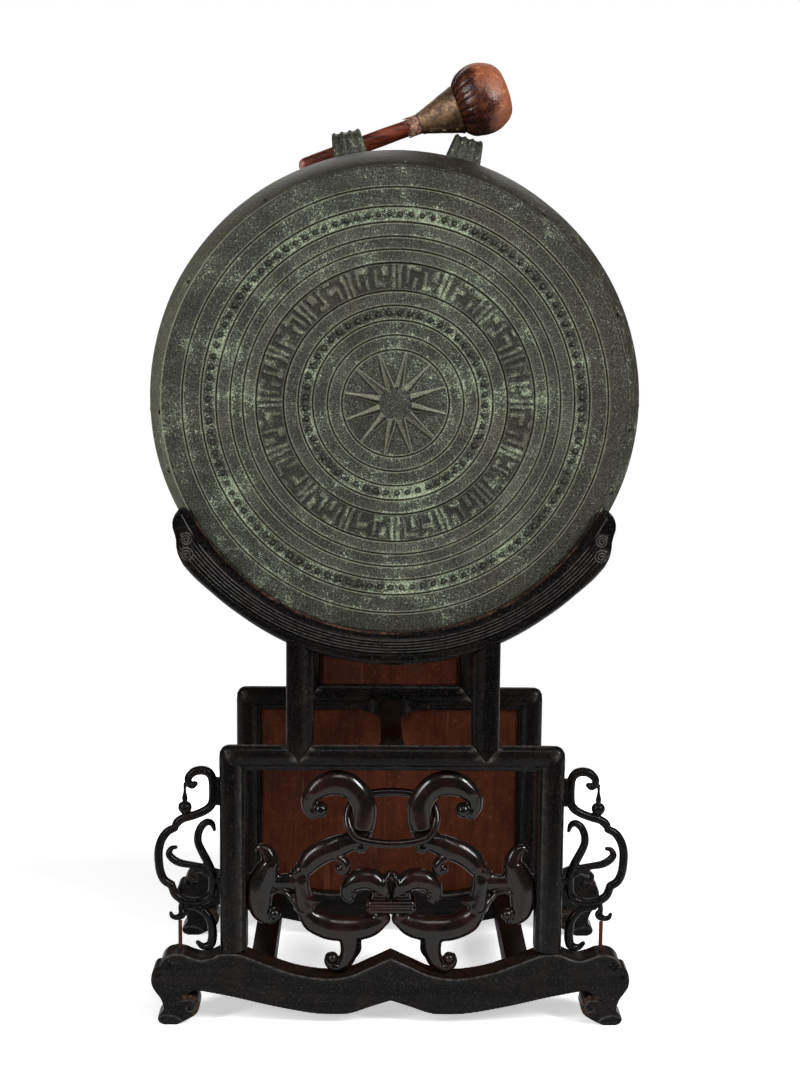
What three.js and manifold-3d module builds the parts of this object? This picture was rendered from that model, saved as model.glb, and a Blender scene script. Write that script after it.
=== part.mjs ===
// A bronze drum-gong lying on its side in a carved hardwood stand, with its mallet stored on top.
// Millimetres. +X is the viewer's right, the struck face looks along -Y and +Z is up.
// Inside the stand group, Y counts backwards from the stand's front plane and Z from the floor.
import * as THREE from "three";
import { mergeVertices } from "three/addons/utils/BufferGeometryUtils.js";
import Module from "manifold-3d";

const wasm = await Module();
wasm.setup();

// Driving dimensions.
const GAP = 0.3; // clearance between pieces that touch
const SLOPED_GAP = 1.4 * GAP; // the same clearance, measured upright against a sloping edge
const MITRE_GAP = 1.8 * GAP; // the same clearance, measured upright at the point of a V-shaped mitre
const FRAME_DEPTH = 30; // thickness of the front frame and of the back frame
const FRAME_PITCH = 251; // front plane of the front frame to front plane of the back frame
const STAND_DEPTH = FRAME_PITCH + FRAME_DEPTH;
const GONG_Z = 633.2; // height of the gong's axis
const FACE_Y = 10; // struck face behind the front plane
const FACE_RADIUS = 228.7;
const BULGE_RADIUS = 246;
const FOOT_RADIUS = 225;
const FOOT_Y = 278; // open end of the gong
const FACE_CHAMFER = 2.6; // between the struck face and the flank
const WALL = 3.5; // bronze wall
const FACE_WALL = 4;
const INNER_CHAMFER = 2;
const GONG_SIDES = 48;
const CRADLE_LIP_RADIUS = 225.5; // inner edge of the cradle
const LIP_ANGLE = THREE.MathUtils.degToRad(62); // from straight down to the cradle's tip
const LIP_STEPS = 16;
const POST_INNER = 146.5;
const POST_OUTER = 173;
const RAIL_BOTTOM = 265.4;
const RAIL_TOP = 294;
const RAIL_CORNER = 8; // rounding of the rail's outer corners
const RAIL_CORNER_MIDDLE = 2.4; // inset, in X and in Z, of the point halfway round that corner
const RAIL_MITRE_DROP = 10; // the mitre with a post ends this far below the rail's top
const UPRIGHT_INNER = 79.7;
const UPRIGHT_OUTER = 106.1;
const UPRIGHT_TIP = 93.4; // V-shaped mitre of an upright in the rail
const UPRIGHT_TIP_DEPTH = 18;
const CRADLE_TIP = [95.5, 398]; // V-shaped mitre of an upright in the cradle
const POST_FOOT = 76.7; // where a post stands on its base rail
const PANEL_THICKNESS = 8;
const PANEL_Y = FRAME_PITCH + 12; // front face of the panels
const LOWER_PANEL_CORNER_Z = 73.6;
const UPPER_PANEL_CORNER_Z = 384.6;
const OPENWORK_Y = 16; // middle plane of the carved openwork
const OPENWORK_DEPTH = 21;
const WING_Y = 15;
const WING_DEPTH = 10;
const RING_HALF_WIDTH = 45; // link ring, on the middle of its tube
const RING_HALF_HEIGHT = 28.3;
const RING_Y = 17;
const RING_Z = 214.6;
const RING_TUBE = 4.2;
const RING_TILT = THREE.MathUtils.degToRad(25.4);
const BAND_HALF_WIDTH = 25; // tie band round the two stems of the openwork
const BAND_WALL = 2.7;
const BAND_Z = [117.6, 129.2];
const BAND_Y = [4.6, 29.4];
const LUG_END = -182; // how far the wing's lugs reach out from the post
const LUGS_Z = [[228, 256], [147, 153]];
const PEG_X = 214;
const PEG_RADIUS = 2;
const PEG_Z = [76.5, 106.1];
const STRETCHER_X = 133;
const STRETCHER_WIDTH = 24.6;
const STRETCHER_Z = [26, 50];
const TOP_STRETCHER_WIDTH = 22;
const TOP_STRETCHER_Z = [262.5, 284];
const TOP_STRETCHER_FLARE = [[0, 42], [3, 20], [12, 6], [32, 0]]; // [out from its side, off the rail]
const HANDLE_ANGLES = [-10.9, 15.8]; // left and right handle, clockwise from the top
const HANDLE_WIDTH = [34, 28.6]; // at the gong and at the crest
const HANDLE_TAPER = 22; // height over which the width changes
const MALLET_SIDES = 20;
const MALLET_Y = 125;
const MALLET_Z = 898.4; // height of the mallet's axis at X = 0
const MALLET_TILT = THREE.MathUtils.degToRad(20.3);
const SHAFT_RADIUS = 8.5;
const SHAFT_SPAN = [-104.5, 100]; // along the mallet's axis
const SHAFT_TIP = [[0, 0], [4.6, 1], [7.4, 4], [8.1, 8]]; // [radius, from the free end]
const BINDING_SPAN = [11, 24.7];
const FERRULE_SPAN = [25, 66.5];
const FERRULE_RADII = [10.4, 24.6];
const FERRULE_WALL = 1.2;
const RIVET_AT = 46; // along the mallet's axis
const BINDING_EDGE = 0.7;
const LEATHER = 2.5;
const PADDING_PLAY = GAP + 0.4; // between the leather and the padding
const HEAD_SHOULDER = 6; // points of the head's profile after this one lie on its far side
const HEAD_LIFT = 2; // the stuffed head sits this much high on its shaft
const HEAD_LIFT_OVER = 15;

// Smooth runs of one outline, left half, from the middle of the top edge to the middle underneath.
const BASE_TOP = [[0, 72], [-20, 62.5], [-40, 53.5], [-60, 50], [-80, 51.5], [-100, 55.5],
  [-120, 62.5], [-140, 70.5], [-152, 75], [-163, 76.3], [-173, 75.5], [-182, 71.5], [-192, 69.5],
  [-202, 72], [-210, 75.3], [-219, 76], [-227, 73.5], [-232.5, 67.5], [-234, 61]];
const BASE_SIDE = [[-234, 61], [-238, 60.5], [-241.5, 56], [-243, 48], [-242, 41], [-238, 34],
  [-233.5, 27.5], [-231, 20.5], [-231, 15], [-234.5, 10.5], [-236.5, 7], [-235, 2.5], [-230, 0]];
const BASE_SOLE = [[-230, 0], [-217, 0]];
const BASE_SCROLL = [[-217, 0], [-211.5, 2.5], [-200, 9], [-195.5, 14], [-194, 20.5],
  [-196.5, 27], [-201.5, 31], [-208.5, 30.5]];
const BASE_UNDER = [[-208.5, 30.5], [-202, 35.2], [-194, 36], [-160, 29.5], [-120, 20], [-80, 12.5],
  [-55, 11.2], [-40, 12.5], [-20, 19.5], [0, 26]];

const CRADLE_HORN = [[-203.5, 529.5], [-209, 529.3], [-214, 525.5], [-217, 518.5], [-217, 510],
  [-212.5, 498]];
const CRADLE_OUTER = [[-212.5, 498], [-213, 490], [-210.5, 480.5], [-203, 468.5], [-180, 446.5],
  [-150, 422.5], [-130, 408.5], [-115, 400.5], [-106.1, 396.5]];
const CRADLE_UNDER = [[-79.7, 385.5], [-60, 380.5], [-40, 377], [-20, 375], [0, 374.3]];

// Strokes of the carved work: [x, z, half width] along a smooth line. The right side mirrors it.
const OPENWORK_STROKES = {
  hook: [[-31, 186, 9], [-29, 204, 11.5], [-27.8, 216, 12.4], [-28.6, 229, 12.6], [-34, 241, 12.5],
    [-43, 249, 12.4], [-54, 252, 12.3], [-66, 250.5, 11.6], [-76.5, 245, 10], [-83.5, 236, 8.6],
    [-84.7, 226.5, 7.2], [-80.5, 219.5, 6], [-73.5, 217.2, 5], [-68, 220.6, 4.4], [-68, 226, 4.2]],
  diagonal: [[-33, 189.5, 9], [-45, 188.2, 10.5], [-58, 184.7, 10.5], [-70, 179.7, 10],
    [-80, 172.7, 9.2], [-86.5, 164, 8.4], [-90.5, 155, 8.6], [-92.5, 146, 9.2], [-92.5, 137, 9.6],
    [-90.5, 127, 10.2], [-84, 116.5, 11.8], [-74, 107, 12.6], [-61, 101, 12.8], [-47, 99.7, 12.8],
    [-33, 100.3, 12.6], [-20, 103.3, 11.6], [-8.3, 109, 7.6]],
  knuckle: [[-99, 158, 3.4], [-95, 158.5, 5], [-88, 157.5, 6.5]],
  stem: [[-11, 108, 8], [-11, 124, 10.6], [-11.5, 134, 8]],
  scroll: [[-6.5, 131, 6], [-10, 143, 7], [-17.5, 151, 7.5], [-27, 154, 7.6], [-36.5, 151.2, 7.3],
    [-43, 145, 6.8], [-45, 137.6, 5.4], [-41.5, 132.4, 4.2], [-37, 135, 3.2]],
  tendril: [[-64, 176, 3.4], [-54.5, 172.8, 3.2], [-48.5, 166.5, 3.2], [-46.8, 159.3, 3.4],
    [-50.5, 155.2, 3.6], [-53.2, 158.5, 3.2]],
  tail: [[-43, 92, 10.5], [-41.7, 80.5, 9.6], [-43, 70.6, 8.6], [-46.5, 62, 7.4],
    [-52.5, 56.6, 5.2], [-59.3, 57, 4.8], [-63.4, 62.5, 4.4], [-62.6, 69.5, 4.2], [-58.6, 71, 3.6]],
  leaf: [[-138.8, 180.8, 1.8], [-133, 182.3, 4.4], [-126.4, 178.2, 7], [-123, 169.2, 9.4],
    [-125.5, 159.2, 11.4], [-131, 148.2, 12.6], [-134.5, 138.2, 12.8], [-136, 126.2, 11],
    [-133.8, 115.4, 8.6], [-127.6, 108, 6.2], [-120, 107.2, 5.2], [-115.8, 112.4, 4.4],
    [-119, 117.6, 3.6]],
  web: [[-124, 148.4, 8.6], [-112, 148.6, 6.6], [-98, 149.2, 8.8]],
  brace: [[-133, 121, 3], [-127.5, 130, 3], [-118, 135.3, 3], [-108, 135.4, 3], [-100.5, 127.8, 3],
    [-96, 116.5, 3.2], [-88, 107, 4]],
};
const WING_STROKES = {
  crook: [[-196.6, 248.4, 2.6], [-200.6, 246.6, 2.8], [-204.4, 250, 3.4], [-204.2, 256.4, 4],
    [-198.4, 262, 4.4], [-190, 263.4, 4.6], [-183, 260, 4.5], [-180.2, 252, 4.4],
    [-180.2, 233, 4.4], [-183.4, 225.4, 4.4], [-191, 220.2, 4.3], [-201, 216.3, 4.3],
    [-210.5, 213.4, 4.3], [-216.4, 208.8, 4.4], [-218.6, 203, 3]],
  bow: [[-218.5, 203.6, 3.8], [-226, 199.6, 4.2], [-232, 191, 4.3], [-235, 180, 4.4],
    [-235, 168, 4.4], [-233.4, 157, 4.4], [-229.4, 148.6, 4.3], [-222.4, 143.8, 4.2]],
  loop: [[-222.4, 143.4, 4.2], [-219, 134.4, 4.3], [-212.4, 129, 4.4], [-203, 126.6, 4.4],
    [-194, 126.8, 4.4], [-186.6, 129.6, 4.4], [-181.8, 136, 4.4], [-180.6, 146, 4.4],
    [-181.4, 156, 4.4], [-185.6, 167.4, 4.3], [-191.4, 179, 4.2], [-195.2, 188.4, 4],
    [-195, 197.4, 4], [-191.6, 205.4, 3.9], [-186, 209.8, 3.6], [-181, 208.2, 3], [-178.8, 202, 1.9]],
  tendril: [[-184, 161.4, 3.4], [-193, 163.2, 3.4], [-203, 165, 3.5], [-213, 166.8, 3.8],
    [-220, 170.4, 3.9], [-224.6, 176.2, 3.6], [-222.4, 182, 2.6], [-217.8, 183.4, 2]],
  eye: [[-186.4, 155, 2.4], [-191.4, 159.4, 2.4], [-199, 158.8, 2.4], [-203.8, 153.8, 2.4],
    [-201.6, 148.6, 2.2], [-197, 149.6, 2]],
  anchor: [[-211.8, 127, 2.8], [-213.4, 119.6, 2.6], [-211.6, 113.2, 4.2], [-216.6, 109.6, 3],
    [-221.8, 110.4, 2.4], [-223.4, 114, 1.9]],
  leg: [[-207, 121, 2.6], [-198, 120, 3], [-189.6, 116, 3.8], [-183.6, 108, 4.4], [-181.6, 98, 4.7],
    [-181.4, 88.6, 4.8], [-183.6, 80.6, 4.6], [-191, 78.8, 3.4], [-196.4, 83, 2.3]],
};
const DROP_X = 208.2; // bead and drop that hang between the wing's crook and its bow
const DROP_PROFILE = [[0, 218.6], [3.6, 219.6], [6.2, 222.6], [6.6, 225.4], [5.4, 229],
  [2.6, 231.2], [3, 234.4], [2.2, 238.6], [1.5, 242.4], [1.5, 249.4], [0, 250]];

const GONG_PROFILE = [[FACE_Y + FACE_CHAMFER, FACE_RADIUS], [21, 234], [35, 239.6], [55, 244.2],
  [81, BULGE_RADIUS], [104, 242.8], [124, 233.6], [144, 219.6], [165, 209], [190, 205.4],
  [216, 208.2], [242, 214.6], [264, 221], [FOOT_Y, FOOT_RADIUS]];
const STRAP_OUTER = [[83, 240], [88, 252], [96, 264], [108, 269.6], [125, 270.5], [142, 268],
  [155, 258], [164, 240], [172, 208]];
const STRAP_INNER = [[165, 206], [159, 238], [151, 254], [140, 262.8], [125, 265.5], [110, 264.8],
  [100, 260], [93.5, 250], [90, 240]];
const HEAD_PROFILE = [[24.4, 66.9], [27.4, 69], [33, 75], [36.2, 84], [36.8, 92], [35.4, 100.4],
  [32.4, 107], [28.4, 113], [21.6, 117.6], [11, 119.7], [0, 120]]; // [radius, along the axis]

// Finishes.
const finish = (color, roughness, metalness) => ({ color, roughness, metalness });
const EBONISED = finish(0x1d1a1a, 0.35, 0);
const PANEL_WOOD = finish(0x5a3426, 0.5, 0);
const PEG_WOOD = finish(0x6e3a30, 0.6, 0);
const BRONZE = finish(0x555744, 0.6, 0.6);
const SHAFT_WOOD = finish(0x5e2413, 0.4, 0);
const SHEET_BRONZE = finish(0x6d5838, 0.4, 0.8);
const LEATHER_BROWN = finish(0x6b3a28, 0.45, 0);
const FIBRE = finish(0xb08b6c, 0.9, 0);

function named(name, geometry, look) {
  const mesh = new THREE.Mesh(geometry, new THREE.MeshStandardMaterial(look));
  mesh.name = name;
  return mesh;
}

// Booleans.
function solidOf(geometry) {
  const bare = geometry.clone();
  bare.deleteAttribute("normal");
  bare.deleteAttribute("uv");
  const merged = mergeVertices(bare, 1e-4);
  const mesh = new wasm.Mesh({
    numProp: 3,
    vertProperties: merged.attributes.position.array,
    triVerts: new Uint32Array(merged.index.array),
  });
  return new wasm.Manifold(mesh);
}

function geometryOf(solid) {
  const { vertProperties, triVerts } = solid.getMesh();
  const geometry = new THREE.BufferGeometry();
  geometry.setAttribute("position", new THREE.BufferAttribute(vertProperties, 3));
  geometry.setIndex(new THREE.BufferAttribute(triVerts, 1));
  return geometry;
}

const union = (solids) => solids.reduce((all, one) => all.add(one));

// Outlines in the XZ plane.
const mirrored = (points) => points.map(([x, z, ...rest]) => [-x, z, ...rest]).reverse();

function smooth(points, perSpan = 1) {
  const curve = new THREE.SplineCurve(points.map(([x, z]) => new THREE.Vector2(x, z)));
  return curve.getPoints((points.length - 1) * perSpan).map((p) => [p.x, p.y]);
}

function withoutRepeats(points) {
  return points.filter(([x, z], i) => {
    const [px, pz] = points[(i + points.length - 1) % points.length];
    return Math.hypot(x - px, z - pz) > 0.01;
  });
}

// A prism over an outline in XZ, between two depths.
function prism(outline, front, back) {
  const shape = new THREE.Shape(withoutRepeats(outline).map(([x, z]) => new THREE.Vector2(x, z)));
  const geometry = new THREE.ExtrudeGeometry(shape, { depth: back - front, bevelEnabled: false });
  geometry.rotateX(Math.PI / 2);
  geometry.translate(0, back, 0);
  return geometry;
}

function box(x0, x1, y0, y1, z0, z1) {
  const geometry = new THREE.BoxGeometry(x1 - x0, y1 - y0, z1 - z0);
  geometry.translate((x0 + x1) / 2, (y0 + y1) / 2, (z0 + z1) / 2);
  return geometry;
}

// A brush stroke with round ends, as a closed strip of quads between two depths.
function strokeGeometry(points, front, back, perSpan = 2, capSteps = 3) {
  const line = new THREE.CatmullRomCurve3(points.map((p) => new THREE.Vector3(...p)));
  const samples = line.getPoints((points.length - 1) * perSpan);
  const last = samples.length - 1;
  const edgeAt = (i, turn) => {
    const before = samples[Math.max(i - 1, 0)];
    const after = samples[Math.min(i + 1, last)];
    const angle = Math.atan2(after.y - before.y, after.x - before.x) + turn;
    const reach = samples[i].z;
    return [samples[i].x + reach * Math.cos(angle), samples[i].y + reach * Math.sin(angle)];
  };
  const cap = (i, from) => Array.from({ length: capSteps - 1 }, (_, k) =>
    edgeAt(i, from + ((k + 1) * Math.PI) / capSteps));
  const right = samples.map((_, i) => edgeAt(i, -Math.PI / 2));
  const left = samples.map((_, i) => edgeAt(i, Math.PI / 2)).reverse();
  const loop = [...right, ...cap(last, -Math.PI / 2), ...left, ...cap(0, Math.PI / 2)];
  const leftAt = (i) => last + capSteps + (last - i);
  const faces = [];
  for (let i = 0; i < last; i += 1) {
    faces.push([i, i + 1, leftAt(i + 1)], [i, leftAt(i + 1), leftAt(i)]);
  }
  for (let k = 1; k < capSteps; k += 1) {
    faces.push([last, last + k, last + k + 1], [0, leftAt(0) + k - 1, leftAt(0) + k]);
  }
  return slab(loop, faces, front, back);
}

// A closed slab over a loop of XZ points that is already cut into triangles.
function slab(loop, faces, front, back) {
  const count = loop.length;
  const positions = [front, back].flatMap((y) => loop.flatMap(([x, z]) => [x, y, z]));
  const index = faces.flatMap(([a, b, c]) => [a, b, c, a + count, c + count, b + count]);
  loop.forEach((_, a) => {
    const b = (a + 1) % count;
    index.push(a, a + count, b + count, a, b + count, b);
  });
  const geometry = new THREE.BufferGeometry();
  geometry.setAttribute("position", new THREE.Float32BufferAttribute(positions, 3));
  geometry.setIndex(index);
  return geometry;
}

function strokeSolids(strokes, middle, depth) {
  return Object.values(strokes).map((points) =>
    solidOf(strokeGeometry(points, middle - depth / 2, middle + depth / 2)));
}

// The gong.
function gongOutline(grow) {
  const front = FACE_Y - grow;
  const face = [new THREE.Vector2(0, front), new THREE.Vector2(FACE_RADIUS - FACE_CHAMFER, front)];
  return [...face, ...smooth(GONG_PROFILE).map(([y, r]) => new THREE.Vector2(r + grow, y))];
}

function drumSolid(grow) {
  const points = gongOutline(grow);
  points.push(new THREE.Vector2(0, FOOT_Y));
  const geometry = new THREE.LatheGeometry(points, GONG_SIDES);
  geometry.translate(0, 0, GONG_Z);
  return solidOf(geometry);
}

function drumShell() {
  const flank = smooth(GONG_PROFILE).slice(1).reverse();
  const inner = flank.map(([y, r]) => new THREE.Vector2(r - WALL, y));
  inner.push(new THREE.Vector2(FACE_RADIUS - WALL - INNER_CHAMFER, FACE_Y + FACE_WALL));
  inner.push(new THREE.Vector2(0, FACE_Y + FACE_WALL));
  const geometry = new THREE.LatheGeometry([...gongOutline(0), ...inner], GONG_SIDES);
  geometry.translate(0, 0, GONG_Z);
  return geometryOf(solidOf(geometry));
}

// A strap handle that arches from the bulge to the waist, before the gong's flank is cut from it.
function strapSolid(degrees) {
  const section = [...smooth(STRAP_OUTER), ...smooth(STRAP_INNER)];
  const shape = new THREE.Shape(section.map(([y, r]) => new THREE.Vector2(y, r)));
  const geometry = new THREE.ExtrudeGeometry(shape, { depth: 1, bevelEnabled: false });
  geometry.translate(0, 0, -0.5);
  const place = geometry.attributes.position;
  const [baseWidth, crestWidth] = HANDLE_WIDTH;
  for (let i = 0; i < place.count; i += 1) {
    const y = place.getX(i);
    const r = place.getY(i);
    const rise = THREE.MathUtils.clamp((r - BULGE_RADIUS) / HANDLE_TAPER, 0, 1);
    const width = THREE.MathUtils.lerp(baseWidth, crestWidth, rise);
    place.setXYZ(i, place.getZ(i) * width, y, r);
  }
  geometry.rotateY(THREE.MathUtils.degToRad(degrees));
  geometry.translate(0, 0, GONG_Z);
  return solidOf(geometry);
}

function handles(flank) {
  const places = [
    ["handle_upper_left", HANDLE_ANGLES[0]],
    ["handle_upper_right", HANDLE_ANGLES[1]],
    ["handle_lower_left", HANDLE_ANGLES[1] + 180],
    ["handle_lower_right", HANDLE_ANGLES[0] + 180],
  ];
  return places.map(([name, degrees]) =>
    named(name, geometryOf(strapSolid(degrees).subtract(flank)), BRONZE));
}

// The mallet, along its own axis: +Y of these turned bodies, which the mallet group then tilts.
function turned(profile, sides) {
  return new THREE.LatheGeometry(profile.map(([r, y]) => new THREE.Vector2(r, y)), sides);
}

function malletShaft() {
  const [start, end] = SHAFT_SPAN;
  const tip = SHAFT_TIP.map(([radius, along]) => [radius, start + along]);
  return turned([...tip, [SHAFT_RADIUS, 0], [SHAFT_RADIUS, end], [0, end]], MALLET_SIDES);
}

function malletBinding() {
  const [start, end] = BINDING_SPAN;
  const inside = SHAFT_RADIUS + GAP;
  const outer = [[inside + BINDING_EDGE, start], [FERRULE_RADII[0], end]];
  return turned([[inside, start], ...outer, [inside, end], [inside, start]], MALLET_SIDES);
}

function malletFerrule() {
  const [start, end] = FERRULE_SPAN;
  const [small, large] = FERRULE_RADII;
  const outer = [[small, start], [large, end]];
  const inner = outer.map(([radius, along]) => [radius - FERRULE_WALL, along]).reverse();
  return turned([inner[1], ...outer, ...inner], MALLET_SIDES);
}

function ferruleRivet() {
  const [start, end] = FERRULE_SPAN;
  const [small, large] = FERRULE_RADII;
  const slope = Math.atan2(large - small, end - start);
  const radius = small + ((large - small) * (RIVET_AT - start)) / (end - start);
  const geometry = turned([[0, 0], [2, 0], [1.6, 0.9], [0, 1.4]], 8);
  geometry.translate(0, GAP, 0);
  geometry.rotateX(Math.PI / 2 + slope);
  geometry.translate(0, RIVET_AT, radius);
  return geometry;
}

// Lifts the stuffed head off the shaft's axis, except for the bore that the shaft fills.
function lifted(geometry) {
  const place = geometry.attributes.position;
  for (let i = 0; i < place.count; i += 1) {
    const along = place.getY(i);
    const inBore = Math.hypot(place.getX(i), place.getZ(i)) < SHAFT_RADIUS + 2 * GAP;
    if (inBore && along < SHAFT_SPAN[1] + 2 * GAP) continue;
    const share = THREE.MathUtils.clamp((along - FERRULE_SPAN[1]) / HEAD_LIFT_OVER, 0, 1);
    place.setX(i, place.getX(i) - HEAD_LIFT * share);
  }
  return geometry;
}

function insetHead(depth) {
  return HEAD_PROFILE.map(([radius, along], i) =>
    [Math.max(radius - depth, 0), along - (i > HEAD_SHOULDER ? depth : 0)]);
}

function headCover() {
  return lifted(turned([...insetHead(LEATHER).reverse(), ...HEAD_PROFILE], MALLET_SIDES));
}

function headPadding() {
  const outer = insetHead(LEATHER + PADDING_PLAY);
  const bore = SHAFT_RADIUS + GAP;
  const floor = SHAFT_SPAN[1] + GAP;
  return lifted(turned([[0, floor], [bore, floor], [bore, outer[0][1]], ...outer], 16));
}

function mallet() {
  const group = new THREE.Group();
  group.position.set(0, MALLET_Y, MALLET_Z);
  group.rotation.set(Math.PI / 2, 0, MALLET_TILT - Math.PI / 2);
  group.add(
    named("mallet_shaft", malletShaft(), SHAFT_WOOD),
    named("mallet_binding", malletBinding(), FIBRE),
    named("mallet_ferrule", malletFerrule(), SHEET_BRONZE),
    named("ferrule_rivet", ferruleRivet(), SHEET_BRONZE),
    named("mallet_head_cover", headCover(), LEATHER_BROWN),
    named("mallet_head_padding", headPadding(), FIBRE),
  );
  return group;
}

// The frames of the stand. Each returns geometry with its front plane at Y = 0.
function baseRail() {
  const runs = [BASE_TOP, BASE_SIDE, BASE_SOLE, BASE_SCROLL, BASE_UNDER];
  const half = runs.flatMap((run) => smooth(run));
  return prism([...half, ...mirrored(half)], 0, FRAME_DEPTH);
}

function post(side) {
  const outline = [[-POST_OUTER, POST_FOOT], [-POST_INNER, POST_FOOT],
    [-POST_INNER, RAIL_BOTTOM - GAP], [-POST_OUTER, RAIL_TOP - RAIL_MITRE_DROP]];
  const mitred = outline.map(([x, z]) => [x * -side, z]);
  return prism(side < 0 ? mitred : mitred.reverse(), 0, FRAME_DEPTH);
}

function topRail() {
  const corner = [[-POST_OUTER, RAIL_TOP - RAIL_MITRE_DROP + GAP],
    [-POST_OUTER, RAIL_TOP - RAIL_CORNER],
    [-POST_OUTER + RAIL_CORNER_MIDDLE, RAIL_TOP - RAIL_CORNER_MIDDLE],
    [-POST_OUTER + RAIL_CORNER, RAIL_TOP]];
  const notch = [[-UPRIGHT_OUTER, RAIL_TOP], [-UPRIGHT_TIP, RAIL_TOP - UPRIGHT_TIP_DEPTH],
    [-UPRIGHT_INNER, RAIL_TOP]];
  const half = [[-POST_INNER, RAIL_BOTTOM], ...corner, ...notch];
  return prism([...half, ...mirrored(half)], 0, FRAME_DEPTH);
}

function uprightOutline() {
  const [tipX, tipZ] = CRADLE_TIP;
  const shoulder = RAIL_TOP + SLOPED_GAP;
  const foot = [[-UPRIGHT_OUTER, shoulder], [-UPRIGHT_TIP, RAIL_TOP - UPRIGHT_TIP_DEPTH + MITRE_GAP],
    [-UPRIGHT_INNER, shoulder]];
  const head = [[-UPRIGHT_INNER, CRADLE_UNDER[0][1] - SLOPED_GAP], [-tipX, tipZ - MITRE_GAP],
    [-UPRIGHT_OUTER, CRADLE_OUTER.at(-1)[1] - SLOPED_GAP]];
  return [...foot, ...head];
}

function upright(side) {
  const outline = uprightOutline().map(([x, z]) => [x * -side, z]);
  return prism(side < 0 ? outline : outline.reverse(), 0, FRAME_DEPTH);
}

function cradleSolid() {
  const lip = Array.from({ length: LIP_STEPS + 1 }, (_, i) => {
    const angle = (LIP_ANGLE * i) / LIP_STEPS;
    return [-CRADLE_LIP_RADIUS * Math.sin(angle), GONG_Z - CRADLE_LIP_RADIUS * Math.cos(angle)];
  });
  const tip = [-CRADLE_TIP[0], CRADLE_TIP[1]];
  const half = [...lip, ...smooth(CRADLE_HORN), ...smooth(CRADLE_OUTER), tip, ...smooth(CRADLE_UNDER)];
  return solidOf(prism([...half, ...mirrored(half)], 0, FRAME_DEPTH));
}

function frame(prefix, front, flank) {
  const place = (name, geometry) => {
    const mesh = named(`${prefix}_${name}`, geometry, EBONISED);
    mesh.position.y = front;
    return mesh;
  };
  const cradle = cradleSolid().translate([0, front, 0]).subtract(flank).translate([0, -front, 0]);
  return [
    place("base_rail", baseRail()),
    place("post_left", post(-1)),
    place("post_right", post(1)),
    place("top_rail", topRail()),
    place("upright_left", upright(-1)),
    place("upright_right", upright(1)),
    place("cradle", geometryOf(cradle)),
  ];
}

// Panels in the back frame, between its members.
function lowerPanel() {
  const side = POST_INNER - GAP;
  const edge = smooth(BASE_TOP).filter(([x]) => x > -side);
  const foot = edge.map(([x, z]) => [x, z + SLOPED_GAP]);
  const half = [...foot, [-side, LOWER_PANEL_CORNER_Z + GAP], [-side, RAIL_BOTTOM - GAP]];
  return prism([...half, ...mirrored(half)], PANEL_Y, PANEL_Y + PANEL_THICKNESS);
}

function upperPanel() {
  const side = UPRIGHT_INNER - GAP;
  const crest = smooth(CRADLE_UNDER).slice(1).map(([x, z]) => [x, z - SLOPED_GAP]);
  const half = [[-side, RAIL_TOP + GAP], [-side, UPPER_PANEL_CORNER_Z], ...crest];
  return prism([...half, ...mirrored(half)], PANEL_Y, PANEL_Y + PANEL_THICKNESS);
}

// Stretchers between the front and back frames.
function bottomStretcher(side) {
  const middle = side * STRETCHER_X;
  const reach = STRETCHER_WIDTH / 2;
  return box(middle - reach, middle + reach, FRAME_DEPTH + GAP, FRAME_PITCH - GAP, ...STRETCHER_Z);
}

function topStretcher() {
  const front = FRAME_DEPTH + GAP;
  const back = FRAME_PITCH - GAP;
  const flare = smooth(TOP_STRETCHER_FLARE.map(([x, d]) => [x + TOP_STRETCHER_WIDTH / 2, d]));
  const backEnd = flare.map(([x, d]) => [x, back - d]);
  const frontEnd = flare.map(([x, d]) => [x, front + d]).reverse();
  const right = [...frontEnd, ...backEnd];
  const plan = [...right, ...right.map(([x, y]) => [-x, y]).reverse()];
  const shape = new THREE.Shape(withoutRepeats(plan).map(([x, y]) => new THREE.Vector2(x, y)));
  const [bottom, top] = TOP_STRETCHER_Z;
  const geometry = new THREE.ExtrudeGeometry(shape, { depth: top - bottom, bevelEnabled: false });
  geometry.translate(0, 0, bottom);
  return geometry;
}

// The carved openwork of the front frame.
function bandSolid(grow) {
  const [low, high] = BAND_Z;
  const [front, back] = BAND_Y;
  const x = BAND_HALF_WIDTH;
  const outside = solidOf(box(-x - grow, x + grow, front - grow, back + grow, low - grow, high + grow));
  const w = BAND_WALL + grow;
  const through = high - low;
  const inside = solidOf(box(-x + w, x - w, front + w, back - w, low - through, high + through));
  return outside.subtract(inside);
}

function openwork() {
  const strokes = union(strokeSolids(OPENWORK_STROKES, OPENWORK_Y, OPENWORK_DEPTH));
  const low = BASE_TOP[3][1] + GAP;
  const keep = box(-POST_INNER + GAP, -GAP / 2, 0, FRAME_DEPTH, low, RAIL_BOTTOM - GAP);
  return strokes.intersect(solidOf(keep)).subtract(bandSolid(GAP)).subtract(ringSolid(GAP));
}

// A long ring threaded through both hooks: its lower bar in front of them, its upper bar behind.
function ringSolid(grow) {
  const geometry = new THREE.TorusGeometry(RING_HALF_HEIGHT, RING_TUBE + grow, 6, 32);
  const stretch = RING_HALF_WIDTH - RING_HALF_HEIGHT;
  const place = geometry.attributes.position;
  for (let i = 0; i < place.count; i += 1) {
    const x = place.getX(i);
    const shift = stretch * THREE.MathUtils.clamp(x / (RING_HALF_HEIGHT * 0.6), -1, 1);
    place.setX(i, x + shift);
  }
  geometry.rotateX(Math.PI / 2 - RING_TILT);
  geometry.translate(0, RING_Y, RING_Z);
  return solidOf(geometry);
}

// The side wings.
function dropSolid() {
  const geometry = turned(DROP_PROFILE, 10);
  geometry.rotateX(Math.PI / 2);
  geometry.translate(-DROP_X, WING_Y, 0);
  return solidOf(geometry);
}

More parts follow.
